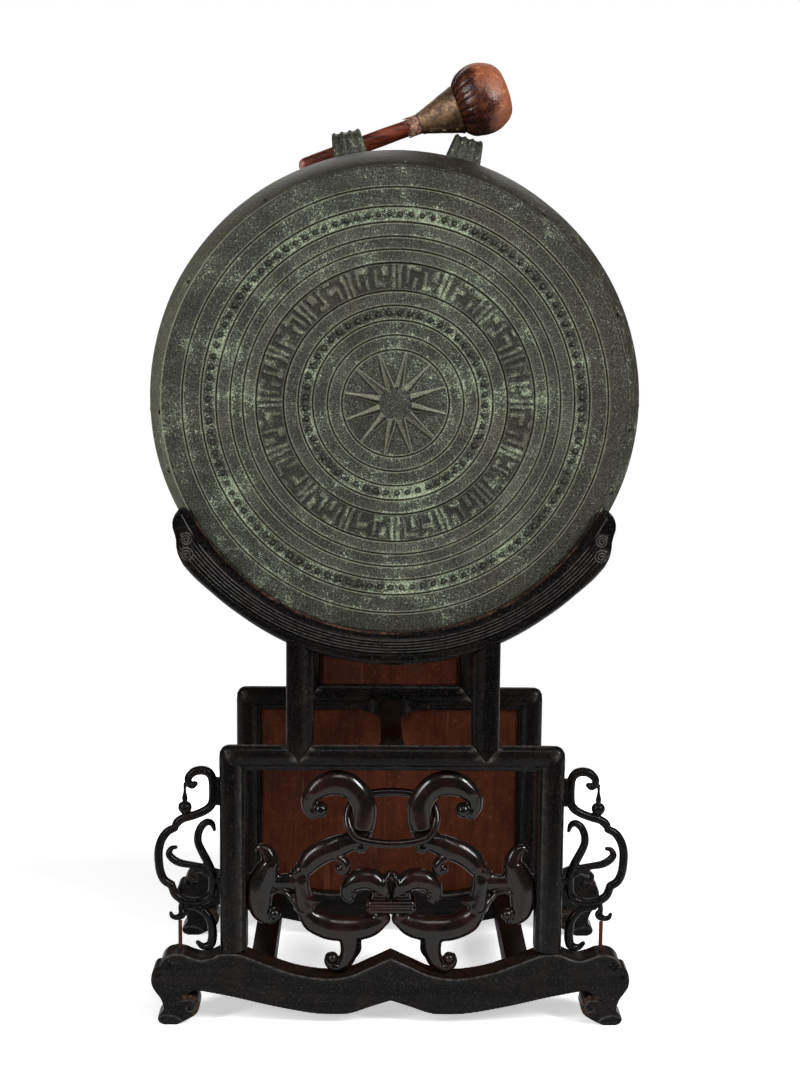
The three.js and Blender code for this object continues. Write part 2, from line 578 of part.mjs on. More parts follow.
function wing() {
  const front = WING_Y - WING_DEPTH / 2;
  const back = WING_Y + WING_DEPTH / 2;
  const lugs = LUGS_Z.map(([low, high]) =>
    solidOf(box(LUG_END, -POST_OUTER - GAP, front, back, low, high)));
  const carved = union([...strokeSolids(WING_STROKES, WING_Y, WING_DEPTH), ...lugs, dropSolid()]);
  const edge = smooth(BASE_TOP).map(([x, z]) => [x, z + GAP]);
  const ground = prism([...edge, [edge.at(-1)[0], 0], [0, 0]], 0, FRAME_DEPTH);
  return carved.subtract(solidOf(ground));
}

function wingPeg(side) {
  const [bottom, top] = PEG_Z;
  const geometry = new THREE.CylinderGeometry(PEG_RADIUS, PEG_RADIUS, top - bottom, 12);
  geometry.rotateX(Math.PI / 2);
  geometry.translate(side * PEG_X, WING_Y, (bottom + top) / 2);
  return geometry;
}

function stand(flank) {
  const leftOpenwork = openwork();
  const leftWing = wing();
  return [
    ...frame("front", 0, flank),
    ...frame("back", FRAME_PITCH, flank),
    named("lower_panel", lowerPanel(), PANEL_WOOD),
    named("upper_panel", upperPanel(), PANEL_WOOD),
    named("bottom_stretcher_left", bottomStretcher(-1), PANEL_WOOD),
    named("bottom_stretcher_right", bottomStretcher(1), PANEL_WOOD),
    named("top_stretcher", topStretcher(), EBONISED),
    named("openwork_left", geometryOf(leftOpenwork), EBONISED),
    named("openwork_right", geometryOf(leftOpenwork.mirror([1, 0, 0])), EBONISED),
    named("link_ring", geometryOf(ringSolid(0)), EBONISED),
    named("tie_band", geometryOf(bandSolid(0)), EBONISED),
    named("wing_left", geometryOf(leftWing), EBONISED),
    named("wing_right", geometryOf(leftWing.mirror([1, 0, 0])), EBONISED),
    named("wing_peg_left", wingPeg(-1), PEG_WOOD),
    named("wing_peg_right", wingPeg(1), PEG_WOOD),
  ];
}

const gong = new THREE.Group();
gong.position.y = -STAND_DEPTH / 2;
const clearance = drumSolid(GAP);
gong.add(named("drum_shell", drumShell(), BRONZE), ...handles(clearance), mallet(), ...stand(clearance));

export default gong;
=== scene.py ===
import math
import bmesh
import bpy
import numpy as np
from mathutils import Matrix, Vector, noise


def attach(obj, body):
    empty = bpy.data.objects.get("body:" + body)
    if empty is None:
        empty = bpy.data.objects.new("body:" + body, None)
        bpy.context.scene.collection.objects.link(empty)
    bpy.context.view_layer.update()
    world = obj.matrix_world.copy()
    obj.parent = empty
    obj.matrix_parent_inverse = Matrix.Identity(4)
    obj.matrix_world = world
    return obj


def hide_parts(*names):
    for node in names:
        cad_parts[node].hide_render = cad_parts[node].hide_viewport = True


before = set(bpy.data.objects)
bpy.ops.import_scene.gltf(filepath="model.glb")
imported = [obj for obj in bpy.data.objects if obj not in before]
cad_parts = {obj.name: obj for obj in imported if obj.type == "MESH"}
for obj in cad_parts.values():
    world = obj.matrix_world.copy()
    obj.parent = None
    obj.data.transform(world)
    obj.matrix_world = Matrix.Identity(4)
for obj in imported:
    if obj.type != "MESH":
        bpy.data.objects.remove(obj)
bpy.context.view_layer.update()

# Shapes are given in millimetres: X to the viewer's right, Y back from the stand's front plane, Z up.
STAND_DEPTH = 281.0
FRAME_DEPTH = 30.0
FRAME_PITCH = 251.0
GONG_Z = 633.2
SIDES = ((-1, "left"), (1, "right"))
FRAMES = (("front", 0.0), ("back", FRAME_PITCH))
RNG = np.random.default_rng(7)


def rgb(*srgb):
    """A colour given in sRGB, as the linear RGBA that shaders read."""
    return [((c / 255 + 0.055) / 1.055) ** 2.4 if c > 10 else c / 255 / 12.92 for c in srgb] + [1.0]


def columns(*values):
    """Rows of numbers from their columns, where a single number fills its column."""
    return np.stack(np.broadcast_arrays(*values), axis=1)


def circle(count):
    return np.linspace(0, 2 * math.pi, count, endpoint=False)


def unit_rows(vectors):
    return vectors / np.linalg.norm(vectors, axis=1)[:, None]


def hill(distance, width):
    return np.exp(-(distance / width) ** 2)


def value_noise(x, z, scale, seed=0.0):
    return np.array([noise.noise(Vector((a * scale, b * scale, seed))) for a, b in zip(x, z)])


# ---------------------------------------------------------------- meshes
def in_scene(name, data):
    obj = bpy.data.objects.new(name, data)
    bpy.context.scene.collection.objects.link(obj)
    return obj


def made(name, points, faces):
    """An object over points in the stand's millimetres."""
    mesh = bpy.data.meshes.new(name)
    placed = np.array(points, dtype=float).reshape(-1, 3)
    placed[:, 1] -= STAND_DEPTH / 2
    mesh.from_pydata((placed / 1000).tolist(), [], faces)
    bm = bmesh.new()
    bm.from_mesh(mesh)
    bmesh.ops.recalc_face_normals(bm, faces=bm.faces)
    bm.to_mesh(mesh)
    bm.free()
    mesh.polygons.foreach_set("use_smooth", [True] * len(mesh.polygons))
    return in_scene(name, mesh)


class Solid:
    """Points and faces collected from several closed bodies."""

    def __init__(self):
        self.points, self.faces, self.count = [], [], 0

    def add(self, points, faces):
        points = np.asarray(points, dtype=float).reshape(-1, 3)
        self.points.append(points)
        self.faces += [tuple(i + self.count for i in face) for face in faces]
        self.count += len(points)

    def made(self, name):
        return made(name, np.concatenate(self.points), self.faces)


def scene_points(obj):
    flat = np.empty(len(obj.data.vertices) * 3)
    obj.data.vertices.foreach_get("co", flat)
    return flat.reshape(-1, 3)


def stand_points(obj):
    """Every vertex, in the stand's millimetres."""
    return scene_points(obj) * 1000 + [0, STAND_DEPTH / 2, 0]


def set_points(obj, points):
    obj.data.vertices.foreach_set("co", points.ravel())


def taken(obj):
    """An object's points and faces, which replace the object."""
    points, faces = stand_points(obj), [tuple(face.vertices) for face in obj.data.polygons]
    bpy.data.objects.remove(obj)
    return points, faces


def copied(obj, name, shift=0.0, mirror=False):
    """A second object, moved back by shift or mirrored left to right."""
    mesh = obj.data.copy()
    mesh.name = name
    twin = in_scene(name, mesh)
    points = scene_points(twin)
    points[:, 1] += shift / 1000
    if mirror:
        points[:, 0] *= -1
    set_points(twin, points)
    if mirror:
        mesh.flip_normals()
    return twin


def modified(obj, **modifiers):
    """Applies modifiers, each given as its kind and its settings."""
    for kind, settings in modifiers.items():
        modifier = obj.modifiers.new(kind, kind)
        for name, value in settings.items():
            setattr(modifier, name, value)
    graph = bpy.context.evaluated_depsgraph_get()
    mesh = bpy.data.meshes.new_from_object(obj.evaluated_get(graph))
    obj.modifiers.clear()
    obj.data = mesh
    return obj


def remeshed(obj, voxel, rounds):
    """One closed skin over everything in obj, softened a little like carved wood."""
    return modified(obj, REMESH={"mode": "VOXEL", "voxel_size": voxel / 1000, "use_smooth_shade": True},
                    SMOOTH={"factor": 0.5, "iterations": rounds})


def bevelled(obj, width, segments=3, angle=35):
    modified(obj, BEVEL={"width": width / 1000, "segments": segments, "limit_method": "ANGLE",
                         "angle_limit": math.radians(angle)})
    return creased(obj, 40)


def creased(obj, degrees):
    """Smooth shading, except over edges sharper than this."""
    mesh = obj.data
    mesh.polygons.foreach_set("use_smooth", [True] * len(mesh.polygons))
    mesh.set_sharp_from_angle(angle=math.radians(degrees))
    return obj


def cut(obj, tool):
    modified(obj, BOOLEAN={"operation": "DIFFERENCE", "solver": "EXACT", "object": tool})
    bpy.data.objects.remove(tool)
    return obj


def finished(obj, body, slot, material, *nodes):
    obj.data.materials.clear()
    obj.data.materials.append(material)
    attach(obj, body)
    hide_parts(*nodes)
    return obj


def ebony(obj, material, *nodes):
    return finished(obj, "stand", "ebonised_wood", material, *nodes)


def paint(obj, **looks):
    """Numbers for every vertex, or one for all, which the material reads by name."""
    for name, values in looks.items():
        layer = obj.data.attributes.new(name, "FLOAT", "POINT")
        spread = np.broadcast_to(values, len(layer.data))
        layer.data.foreach_set("value", np.ascontiguousarray(spread, dtype=np.float32))


def closeness(places, lines, width):
    """1 on the lines, fading to 0 at about twice the width."""
    nearest = np.full(len(places), 1e9)
    for point in np.vstack(lines):
        nearest = np.minimum(nearest, ((places - point) ** 2).sum(axis=1))
    return np.exp(-nearest / width**2)


# ---------------------------------------------------------------- curves and lofts
def spline(points, per_span):
    """Points along a Catmull-Rom curve through the given points."""
    p = np.asarray(points, dtype=float)
    p = np.vstack([2 * p[0] - p[1], p, 2 * p[-1] - p[-2]])
    t = np.linspace(0, 1, per_span, endpoint=False)[:, None]
    runs = [0.5 * (2 * b + (c - a) * t + (2 * a - 5 * b + 4 * c - d) * t**2 + (3 * b - a - 3 * c + d) * t**3)
            for a, b, c, d in zip(p[:-3], p[1:-2], p[2:-1], p[3:])]
    return np.vstack([*runs, p[-2]])


def grid_faces(rows, count, closed=False):
    """Quads between rings of points, and from the last ring to the first if closed."""
    return [(i * count + j, i * count + (j + 1) % count,
             (i + 1) % rows * count + (j + 1) % count, (i + 1) % rows * count + j)
            for i in range(rows if closed else rows - 1) for j in range(count)]


def loft(rings):
    """A closed body through equal rings, with flat ends."""
    rows, count = len(rings), len(rings[0])
    ends = [tuple(range(count)), tuple((rows - 1) * count + j for j in range(count))]
    return np.concatenate(rings), grid_faces(rows, count) + ends


def stroke(points, y, share, deepest=99.0, sides=20, bounds=None):
    """A round carved limb along [x, z, half width], with domed ends; its depth is a share of its width.

    bounds(x, z), if given, is the nearest and farthest depth that the limb may reach there."""
    path = spline(points, 6)
    along = unit_rows((np.vstack([path[1:], path[-1]]) - np.vstack([path[0], path[:-1]]))[:, :2])
    dome = [math.pi / 2 * k / 5 * 0.98 for k in range(1, 6)]

    def domed(point, way, sign, turns):
        return [(point[:2] + sign * way * point[2] * math.sin(turn), way, point[2] * math.cos(turn))
                for turn in turns]

    rows = domed(path[0], along[0], -1, dome[::-1])
    rows += [(p[:2], way, p[2]) for p, way in zip(path, along)] + domed(path[-1], along[-1], 1, dome)
    angles = circle(sides)
    rings = []
    for centre, way, reach in rows:
        depth, middle = min(reach * share, deepest), y
        if bounds is not None:
            near, far = bounds(*centre)
            depth = min(reach * share, (far - near) / 2)
            middle = min(max(y, near + depth), far - depth)
        across = np.cos(angles) * reach
        rings.append(columns(centre[0] - way[1] * across, middle + np.sin(angles) * depth,
                             centre[1] + way[0] * across))
    return loft(rings)


def tube(path, radii, sides=12):
    """A round tube along a path in space, with flat ends."""
    along = unit_rows(np.gradient(path, axis=0))
    side = np.cross(along[0], [0.12, 0.31, 0.94])
    angles = circle(sides)[:, None]
    rings = []
    for p, way, r in zip(path, along, np.broadcast_to(radii, len(path))):
        side = side - way * side.dot(way)
        side /= np.linalg.norm(side)
        rings.append(p + r * (np.cos(angles) * side + np.sin(angles) * np.cross(way, side)))
    return loft(rings)


def lathe(profile, sides, reshape=None):
    """A body turned about +Y from [radius, y]; reshape(radius, y, angle) may vary its radius."""
    angles = circle(sides)
    rings = []
    for r, y in profile:
        reach = float(r) if reshape is None else reshape(r, y, angles)
        rings.append(columns(np.sin(angles) * reach, float(y), np.cos(angles) * reach))
    return loft(rings)


def prism(outline, front, back):
    """A closed body over an outline in XZ, between two depths."""
    return loft([np.insert(np.asarray(outline, dtype=float), 1, y, axis=1) for y in (front, back)])


def mirrored(points):
    return [(-x, z) for x, z in reversed(points)]


# ---------------------------------------------------------------- materials
class Nodes:
    """Short names for building a node tree."""

    def __init__(self, name):
        self.material = bpy.data.materials.new(name)
        self.material.use_nodes = True
        self.tree = self.material.node_tree
        self.shader = self.tree.nodes["Principled BSDF"]
        self.place = self.node("ShaderNodeTexCoord").outputs["Object"]

    def node(self, kind, inputs=None, **settings):
        """A node with its settings, and its inputs linked or set."""
        made_node = self.tree.nodes.new(kind)
        for name, value in settings.items():
            setattr(made_node, name, value)
        for socket, source in (inputs or {}).items():
            self.link(source, made_node.inputs[socket])
        return made_node

    def link(self, source, target):
        if hasattr(source, "is_output"):
            self.tree.links.new(source, target)
        else:
            target.default_value = source

    def math(self, operation, a, b, clamp=False):
        return self.node("ShaderNodeMath", {0: a, 1: b}, operation=operation, use_clamp=clamp).outputs[0]

    def times(self, a, b, clamp=False):
        return self.math("MULTIPLY", a, b, clamp)

    def plus(self, a, b, clamp=False):
        return self.math("ADD", a, b, clamp)

    def mix(self, share, a, b):
        return self.node("ShaderNodeMix", {0: share, 6: a, 7: b}, data_type="RGBA").outputs[2]

    def scaled(self, stretch):
        return self.node("ShaderNodeMapping", {"Vector": self.place, "Scale": stretch}).outputs[0]

    def noise(self, scale, detail=4.0, rough=0.55, source=None, distortion=0.0):
        inputs = {"Vector": source or self.place, "Scale": scale, "Detail": detail, "Roughness": rough,
                  "Distortion": distortion}
        return self.node("ShaderNodeTexNoise", inputs).outputs["Fac"]

    def cells(self, scale):
        return self.node("ShaderNodeTexVoronoi", {"Vector": self.place, "Scale": scale}).outputs["Distance"]

    def band(self, value, low, high, out_low=0.0, out_high=1.0):
        """A smooth step from out_low to out_high while the value goes from low to high."""
        inputs = {"Value": value, "From Min": low, "From Max": high, "To Min": out_low, "To Max": out_high}
        return self.node("ShaderNodeMapRange", inputs, interpolation_type="SMOOTHSTEP").outputs[0]

    def attribute(self, name):
        return self.node("ShaderNodeAttribute", attribute_name=name).outputs["Fac"]

    def edges(self, low, high):
        return self.band(self.node("ShaderNodeNewGeometry").outputs["Pointiness"], low, high)

    def bump(self, height, distance, strength, below=None):
        inputs = {"Strength": strength, "Distance": distance, "Height": height}
        if below is not None:
            inputs["Normal"] = below
        return self.node("ShaderNodeBump", inputs).outputs[0]

    def done(self, colour, roughness, normal=None, **settings):
        self.link(colour, self.shader.inputs["Base Color"])
        self.link(roughness, self.shader.inputs["Roughness"])
        if normal is not None:
            self.link(normal, self.shader.inputs["Normal"])
        for name, value in settings.items():
            self.shader.inputs[name.replace("_", " ")].default_value = value
        return self.material


GRAIN = {"x": (0.045, 1.0, 1.0), "z": (1.0, 1.0, 0.045), "y": (1.0, 0.045, 1.0), "none": (0.5, 0.5, 0.5)}


def ebonised(name, grain, gloss=0.25, warm=0.0, shine=0.1):
    """Black-stained hardwood under old lacquer, rubbed brown along its edges, with pale lines of dust and
    painted highlight.
    """
    n = Nodes(name)
    along = n.scaled(GRAIN[grain])
    fibres = n.noise(520, 5, 0.62, along)
    streaks = n.noise(150, 4, 0.6, along, 0.6)
    pores = n.noise(760, 2, 0.5, n.scaled(tuple(0.5 + 0.5 * k for k in GRAIN[grain])))
    blotch = n.noise(30, 4, 0.6)
    black = n.mix(n.band(streaks, 0.35, 0.75), rgb(8, 7, 7), rgb(19, 17, 16))
    brown = rgb(36, 14, 11) if warm else rgb(28, 20, 17)
    toned = n.mix(n.band(blotch, 0.5 - 0.22 * warm, 0.82), black, brown)
    dusty = n.mix(n.band(pores, 0.6, 0.74, 0.0, 0.1 if warm else 0.22), toned, rgb(58, 55, 53))
    specks = n.band(n.noise(620, 3, 0.75), 0.58, 0.68, 0.0, 0.14 if warm else 0.42)
    dusty = n.mix(specks, dusty, rgb(84, 82, 80))
    rubbed = n.times(n.edges(0.56, 0.66), n.band(n.noise(70, 4, 0.7), 0.36, 0.6))
    colour = n.mix(n.times(rubbed, 0.4), dusty, rgb(92, 76, 66))
    patchy = n.band(n.noise(150, 4, 0.7), 0.36, 0.6, 0.3, 1.0)
    colour = n.mix(n.times(n.attribute("wear"), patchy, True), colour, rgb(112, 76, 58))
    # Pale grey where chalk says: dust, and painted highlights on edges, facets, corners, beads and reeds.
    colour = n.mix(n.times(n.attribute("chalk"), patchy, True), colour, rgb(112, 109, 106))
    rough = n.plus(n.band(blotch, 0.3, 0.8, gloss - 0.06, gloss + 0.1), n.times(rubbed, 0.2))
    height = n.plus(n.times(fibres, 0.6), n.times(streaks, 0.6))
    normal = n.bump(height, 0.00010, 0.4 if warm else 0.8)
    normal = n.bump(n.noise(90, 2, 0.5), 0.0006, 0.2, normal)
    return n.done(colour, rough, normal, Specular_IOR_Level=shine)


def red_wood(name, grain):
    """Reddish-brown board with open vertical grain, knots and scratches."""
    n = Nodes(name)
    along = n.scaled(GRAIN[grain])
    fibres = n.noise(480, 6, 0.65, along)
    bands = n.noise(40, 6, 0.65, n.scaled(tuple(0.25 + 0.75 * k for k in GRAIN[grain])), 1.6)
    stains = n.noise(14, 4, 0.6)
    wood = n.mix(n.band(bands, 0.3, 0.72), rgb(52, 22, 10), rgb(76, 36, 19))
    wood = n.mix(n.band(fibres, 0.48, 0.7, 0.0, 0.7), wood, rgb(44, 19, 13))
    wood = n.mix(n.band(stains, 0.48, 0.72, 0.0, 0.6), wood, rgb(48, 23, 17))
    spots = n.noise(90, 3, 0.6, n.scaled((1.0, 1.0, 0.4)))
    wood = n.mix(n.band(spots, 0.64, 0.72, 0.0, 0.8), wood, rgb(26, 12, 9))
    scratches = n.band(n.noise(300, 2, 0.4, n.scaled((1.0, 1.0, 0.03))), 0.67, 0.74, 0.0, 0.3)
    wood = n.mix(scratches, wood, rgb(116, 70, 50))
    wood = n.mix(n.band(n.noise(210, 4, 0.7), 0.56, 0.72, 0.0, 0.35), wood, rgb(120, 72, 52))
    normal = n.bump(fibres, 0.00015, 0.7)
    return n.done(wood, n.band(stains, 0.3, 0.7, 0.36, 0.52), normal, Specular_IOR_Level=0.12)


def gong_bronze(name):
    """Grainy grey-green patina over bronze, with pale verdigris where the relief holds it, painted highlights
    and painted shade.
    """
    n = Nodes(name)
    flat = n.scaled((1.0, 0.3, 1.0))
    grit = n.noise(460, 4, 0.8, flat)
    fine = n.noise(760, 3, 0.75, flat)
    coarse = n.noise(26, 5, 0.65)
    broad = n.noise(9, 3, 0.5)
    base = n.mix(n.band(coarse, 0.36, 0.66), rgb(55, 58, 50), rgb(82, 86, 72))
    base = n.mix(n.band(broad, 0.5, 0.7, 0.0, 0.55), base, rgb(90, 83, 70))
    base = n.mix(n.times(n.attribute("earth"), n.band(coarse, 0.3, 0.6, 0.6, 1.0)), base, rgb(66, 60, 49))
    base = n.mix(n.band(fine, 0.43, 0.55), rgb(14, 14, 12), base)
    base = n.mix(n.band(grit, 0.56, 0.65, 0.0, 0.8), base, rgb(146, 146, 128))
    catch = n.plus(n.times(n.attribute("verdigris"), 0.15), n.times(coarse, 0.5))
    catch = n.plus(catch, n.times(n.noise(115, 3, 0.7), 0.35))
    catch = n.plus(catch, n.noise(540, 5, 0.8, flat))
    flecks = n.band(catch, 1.03, 1.075)
    crust = n.mix(n.band(fine, 0.35, 0.65), rgb(100, 120, 88), rgb(214, 226, 194))
    colour = n.mix(n.times(flecks, 0.85), base, crust)
    # Pale where crest says: worn crests of the relief, and painted highlights on the star, the rim and the
    # studs.
    colour = n.mix(n.times(n.attribute("crest"), n.band(grit, 0.38, 0.56, 0.35, 0.9), True), colour,
                   rgb(156, 156, 132))
    # Near black where dirt says: patina in grooves and hollows, dark studs, and painted shade on the star and
    # the rim.
    colour = n.mix(n.times(n.attribute("dirt"), 0.94, True), colour, rgb(24, 16, 12))
    height = n.plus(n.times(fine, 0.8), n.times(grit, 0.8))
    height = n.plus(height, n.times(flecks, 0.3))
    height = n.plus(height, n.times(n.attribute("comb"), 0.3))
    normal = n.bump(height, 0.0009, 0.9)
    return n.done(colour, n.band(flecks, 0.0, 1.0, 0.48, 0.8), normal, Metallic=0.15, Specular_IOR_Level=0.35)


def mallet_wood(name):
    """Red-brown polished wood, paler where hands wore it."""
    n = Nodes(name)
    along = n.scaled((0.1, 1.0, 1.0))
    fibres = n.noise(700, 5, 0.6, along)
    wear = n.noise(160, 5, 0.65, along)
    wood = n.mix(n.band(wear, 0.35, 0.65), rgb(62, 21, 10), rgb(116, 50, 26))
    wood = n.mix(n.band(fibres, 0.5, 0.7, 0.0, 0.75), wood, rgb(34, 12, 7))
    wood = n.mix(n.times(n.attribute("bare"), 0.9), wood, rgb(172, 128, 104))
    normal = n.bump(fibres, 0.0003, 0.6)
    return n.done(wood, n.band(wear, 0.3, 0.7, 0.24, 0.5), normal, Coat_Weight=0.15, Coat_Roughness=0.15)


def leather(name):
    """Brown hide, paler where it is worn, with painted shade in its folds."""
    n = Nodes(name)
    worn = n.attribute("worn")
    patch = n.noise(60, 5, 0.65, distortion=0.5)
    grain = n.cells(900)
    mottle = n.noise(150, 6, 0.8, distortion=1.0)
    share = n.plus(n.times(worn, 0.75), n.times(n.math("SUBTRACT", patch, 0.5), 1.2))
    share = n.plus(share, n.times(n.math("SUBTRACT", mottle, 0.45), 1.5), True)
    hide = n.mix(share, rgb(50, 21, 15), rgb(160, 92, 60))
    hide = n.mix(n.band(n.noise(420, 4, 0.75), 0.54, 0.68, 0.0, 0.75), hide, rgb(46, 20, 14))
    hide = n.mix(n.times(n.band(n.noise(60, 4, 0.7), 0.55, 0.68), worn), hide, rgb(206, 142, 104))
    # Painted shade in the folds of the pleats.
    hide = n.mix(n.times(n.attribute("fold"), 0.85, True), hide, rgb(24, 9, 7))
    normal = n.bump(grain, 0.0003, 0.5)
    normal = n.bump(n.noise(240, 4, 0.6), 0.0007, 0.45, normal)
    rough = n.band(share, 0.0, 1.0, 0.26, 0.56)
    return n.done(hide, rough, normal, Specular_IOR_Level=0.45)


def sheet_bronze(name):
    """Tarnished bronze sheet."""
    n = Nodes(name)
    tarnish = n.noise(70, 5, 0.65, distortion=0.4)
    metal = n.mix(n.band(tarnish, 0.35, 0.68), rgb(76, 56, 39), rgb(156, 122, 90))
    metal = n.mix(n.band(n.noise(420, 4, 0.7), 0.5, 0.66, 0.0, 0.8), metal, rgb(52, 48, 36))
    normal = n.bump(tarnish, 0.001, 0.4)
    normal = n.bump(n.noise(500, 3, 0.6), 0.0003, 0.5, normal)
    return n.done(metal, n.band(tarnish, 0.3, 0.7, 0.6, 0.42), normal, Metallic=0.5)


def fibre(name, dark, light):
    """Dry plant fibre."""
    n = Nodes(name)
    colour = n.mix(n.band(n.noise(300, 4, 0.6), 0.35, 0.7), dark, light)
    return n.done(colour, 0.88, n.bump(n.noise(1500, 3, 0.6), 0.0003, 0.6), Sheen_Weight=0.2)


WOOD_X = ebonised("ebonised_wood_x", "x")
WOOD_Z = ebonised("ebonised_wood_z", "z")
WOOD_Y = ebonised("ebonised_wood_y", "y")
CARVED = ebonised("ebonised_wood_carved", "none", gloss=0.2, warm=0.75, shine=0.34)
PANEL = red_wood("red_wood_upright", "z")
STRETCHER = ebonised("stained_wood_long", "y", gloss=0.4, warm=1.0, shine=0.1)
PEG = red_wood("peg_wood", "z")
BRONZE = gong_bronze("gong_bronze")
SHAFT = mallet_wood("mallet_wood")
HIDE = leather("mallet_leather")
SHEET = sheet_bronze("sheet_bronze")
FIBRE = fibre("binding_cord", rgb(92, 56, 40), rgb(196, 152, 124))


# ---------------------------------------------------------------- the gong
FACE_Y = 10.0
GROOVES = [52.2, 66.3, 80.6, 94.7, 108.8, 135.6, 148.4, 160.6, 174.2, 189, 207.2]
STAR_TIP, STAR_HUB, STAR_TURN, RAYS = 50.3, 15.5, math.radians(11.3), 12
STUD_RINGS = [(87.5, 53), (181.7, 108)]  # radius, count
STUD_SIZE = 2.7
# [share of its size, depth]
STUD_PROFILE = [[1.15, 0.8], [1.05, -0.2], [0.9, -1.2], [0.6, -2.1], [0.2, -2.5]]
FIGURE_BAND, FIGURES = (108.8, 135.6), 32
COMB_BANDS = [(52.2, 66.3, 3), (94.7, 108.8, 3), (160.6, 174.2, 2), (135.6, 148.4, 2)]  # from, to, pitch
# The drum's outside behind its rim: [depth, radius].
FLANK = [[12.6, 228.7], [21, 234], [35, 239.6], [55, 244.2], [81, 246], [104, 242.8], [124, 233.6],
         [144, 219.6], [165, 209], [190, 205.4], [216, 208.2], [242, 214.6], [264, 221], [278, 225]]
WALL = 3.5
BACK_OF_FACE = 14.0
SEAMS = [math.radians(degrees) for degrees in (2.0, -92.5, 91.0)]
FLANK_RINGS = (118.0, 160.0, 168.0, 244.0, 252.0)
NUBS = ((-60, 17), (-33, 16), (2.0, 15), (38, 16), (68, 18), (96, 17), (112, 16), (-92.5, 14), (-107, 17))
# Per-point looks: dirt and crest carry painted shade and painted highlights as well as patina and wear.
LOOKS = ("verdigris", "dirt", "comb", "crest", "earth")


def star_height(r, turn):
    """Height of the star, and how much of each point is pale or dark: pale worn edges and a painted highlight
    on each ray's side toward the light, painted shade on its other side and a dark line beside it.
    """
    step = 2 * math.pi / RAYS
    off = (turn - STAR_TURN + step / 2) % step - step / 2
    across = np.abs(r * np.sin(off))
    share = np.clip((r - STAR_HUB) / (STAR_TIP - STAR_HUB), 0, 1)
    half = 3.5 * (1 - share) + 0.55
    on = (r > STAR_HUB) * (r < STAR_TIP)
    side = np.sign(off) * np.cos(turn) + 0.35 * np.sin(turn) * np.sign(off)
    ridge = np.clip(1.15 - across / half, 0, 1) * (3.6 - 1.8 * share) * on
    edge = hill(across - half, 0.55) * on
    lit = np.clip((1 - across / half) * 4, 0, 1) * on
    hub = 1.1 * np.clip((STAR_HUB + 3.0 - r) / 5, 0, 1)
    # Pale: worn edges, and a painted highlight on the half of each ray that side puts toward the light, above
    # and to the right; dark: painted shade on the other half, and a dark line beside each ray.
    return (np.maximum(ridge, hub) + 0.5 * edge, 0.85 * edge + 0.5 * lit * (side < 0),
            0.75 * lit * (side >= 0) + 0.6 * hill(across - half - 1.4, 0.7) * on * (share < 0.8))


# Generic worn meanders: boxes in a cell, each from and to across, from and to outward.
FIGURE_BAR = (0.02, 0.22, 0.06, 0.96)
FIGURE_KINDS = (((0.34, 0.94, 0.72, 0.94), (0.34, 0.52, 0.2, 0.94), (0.66, 0.86, 0.1, 0.56)),
                ((0.32, 0.62, 0.5, 0.92), (0.5, 0.96, 0.1, 0.34), (0.74, 0.92, 0.1, 0.86)),
                ((0.36, 0.56, 0.08, 0.7), (0.36, 0.9, 0.44, 0.68), (0.62, 0.94, 0.8, 0.96)))


def figure_height(r, turn, strength):
    """Worn fretwork cells between radial bars."""
    cell = turn / (2 * math.pi) * FIGURES
    a = cell % 1
    b = (r - FIGURE_BAND[0]) / (FIGURE_BAND[1] - FIGURE_BAND[0])
    cell = np.floor(cell).astype(int)
    a = np.where(cell % 2 == 1, 1 - a, a)
    x, z = np.sin(turn) * r, np.cos(turn) * r
    a = a + 0.05 * value_noise(x, z, 0.12, 21.0)
    b = b + 0.07 * value_noise(x, z, 0.1, 23.0)

    def slab(a0, a1, b0, b1):
        soft = 0.06
        return (np.clip((a - a0) / soft, 0, 1) * np.clip((a1 - a) / soft, 0, 1)
                * np.clip((b - b0) / soft, 0, 1) * np.clip((b1 - b) / soft, 0, 1))

    kinds = [np.maximum.reduce([slab(*box) for box in boxes]) for boxes in FIGURE_KINDS]
    worn = np.maximum(slab(*FIGURE_BAR), np.choose(cell % FIGURES % 3, kinds))
    return worn * strength[cell % FIGURES]


def ring_radii():
    """Radii of the face's rings of points, closest together at the grooves."""
    radii = list(np.linspace(1.2, 14, 9)) + list(np.arange(15.4, 49.6, 1.0))
    for groove in GROOVES:
        radii += [groove + d for d in (-2.3, -1.75, -1.3, -0.8, -0.35, 0.0, 0.35, 0.8, 1.3, 1.75, 2.3)]
    for low, high in zip(GROOVES, GROOVES[1:] + [228.3]):
        count = max(2, int(round((high - low - 4.6) / (1.25 if low == FIGURE_BAND[0] else 1.9))))
        radii += list(np.linspace(low + 2.3, high - 2.3, count + 1)[1:-1])
    radii.append(226.1)
    return sorted(r for r in set(np.round(radii, 3)) if r <= 226.1)


def shell_rows():
    """The drum's skin from the middle of its face to inside its back: (radius, depth, points, kind)."""
    rows = [(r, FACE_Y, 216 if r < 15 else 432 if r < 66.5 else 864, "face") for r in ring_radii()]
    rows += [(226.8, 10.9, 864, "moat"), (227.5, 9.9, 864, "corner"), (228.4, 10.1, 864, "corner"),
             (228.7, 11.0, 864, "flank")]
    rows += [(r, y, 432, "flank") for y, r in spline(FLANK, 6)]
    rows.append((223.4, 278.6, 216, "inside"))
    rows += [(r, y, 216, "inside") for y, r in spline([[y, r - WALL] for y, r in FLANK[1:]], 3)[::-1]]
    rows.append((222, BACK_OF_FACE + 0.4, 216, "inside"))
    return rows + [(r, BACK_OF_FACE, 216, "inside") for r in np.linspace(218, 4, 12)]


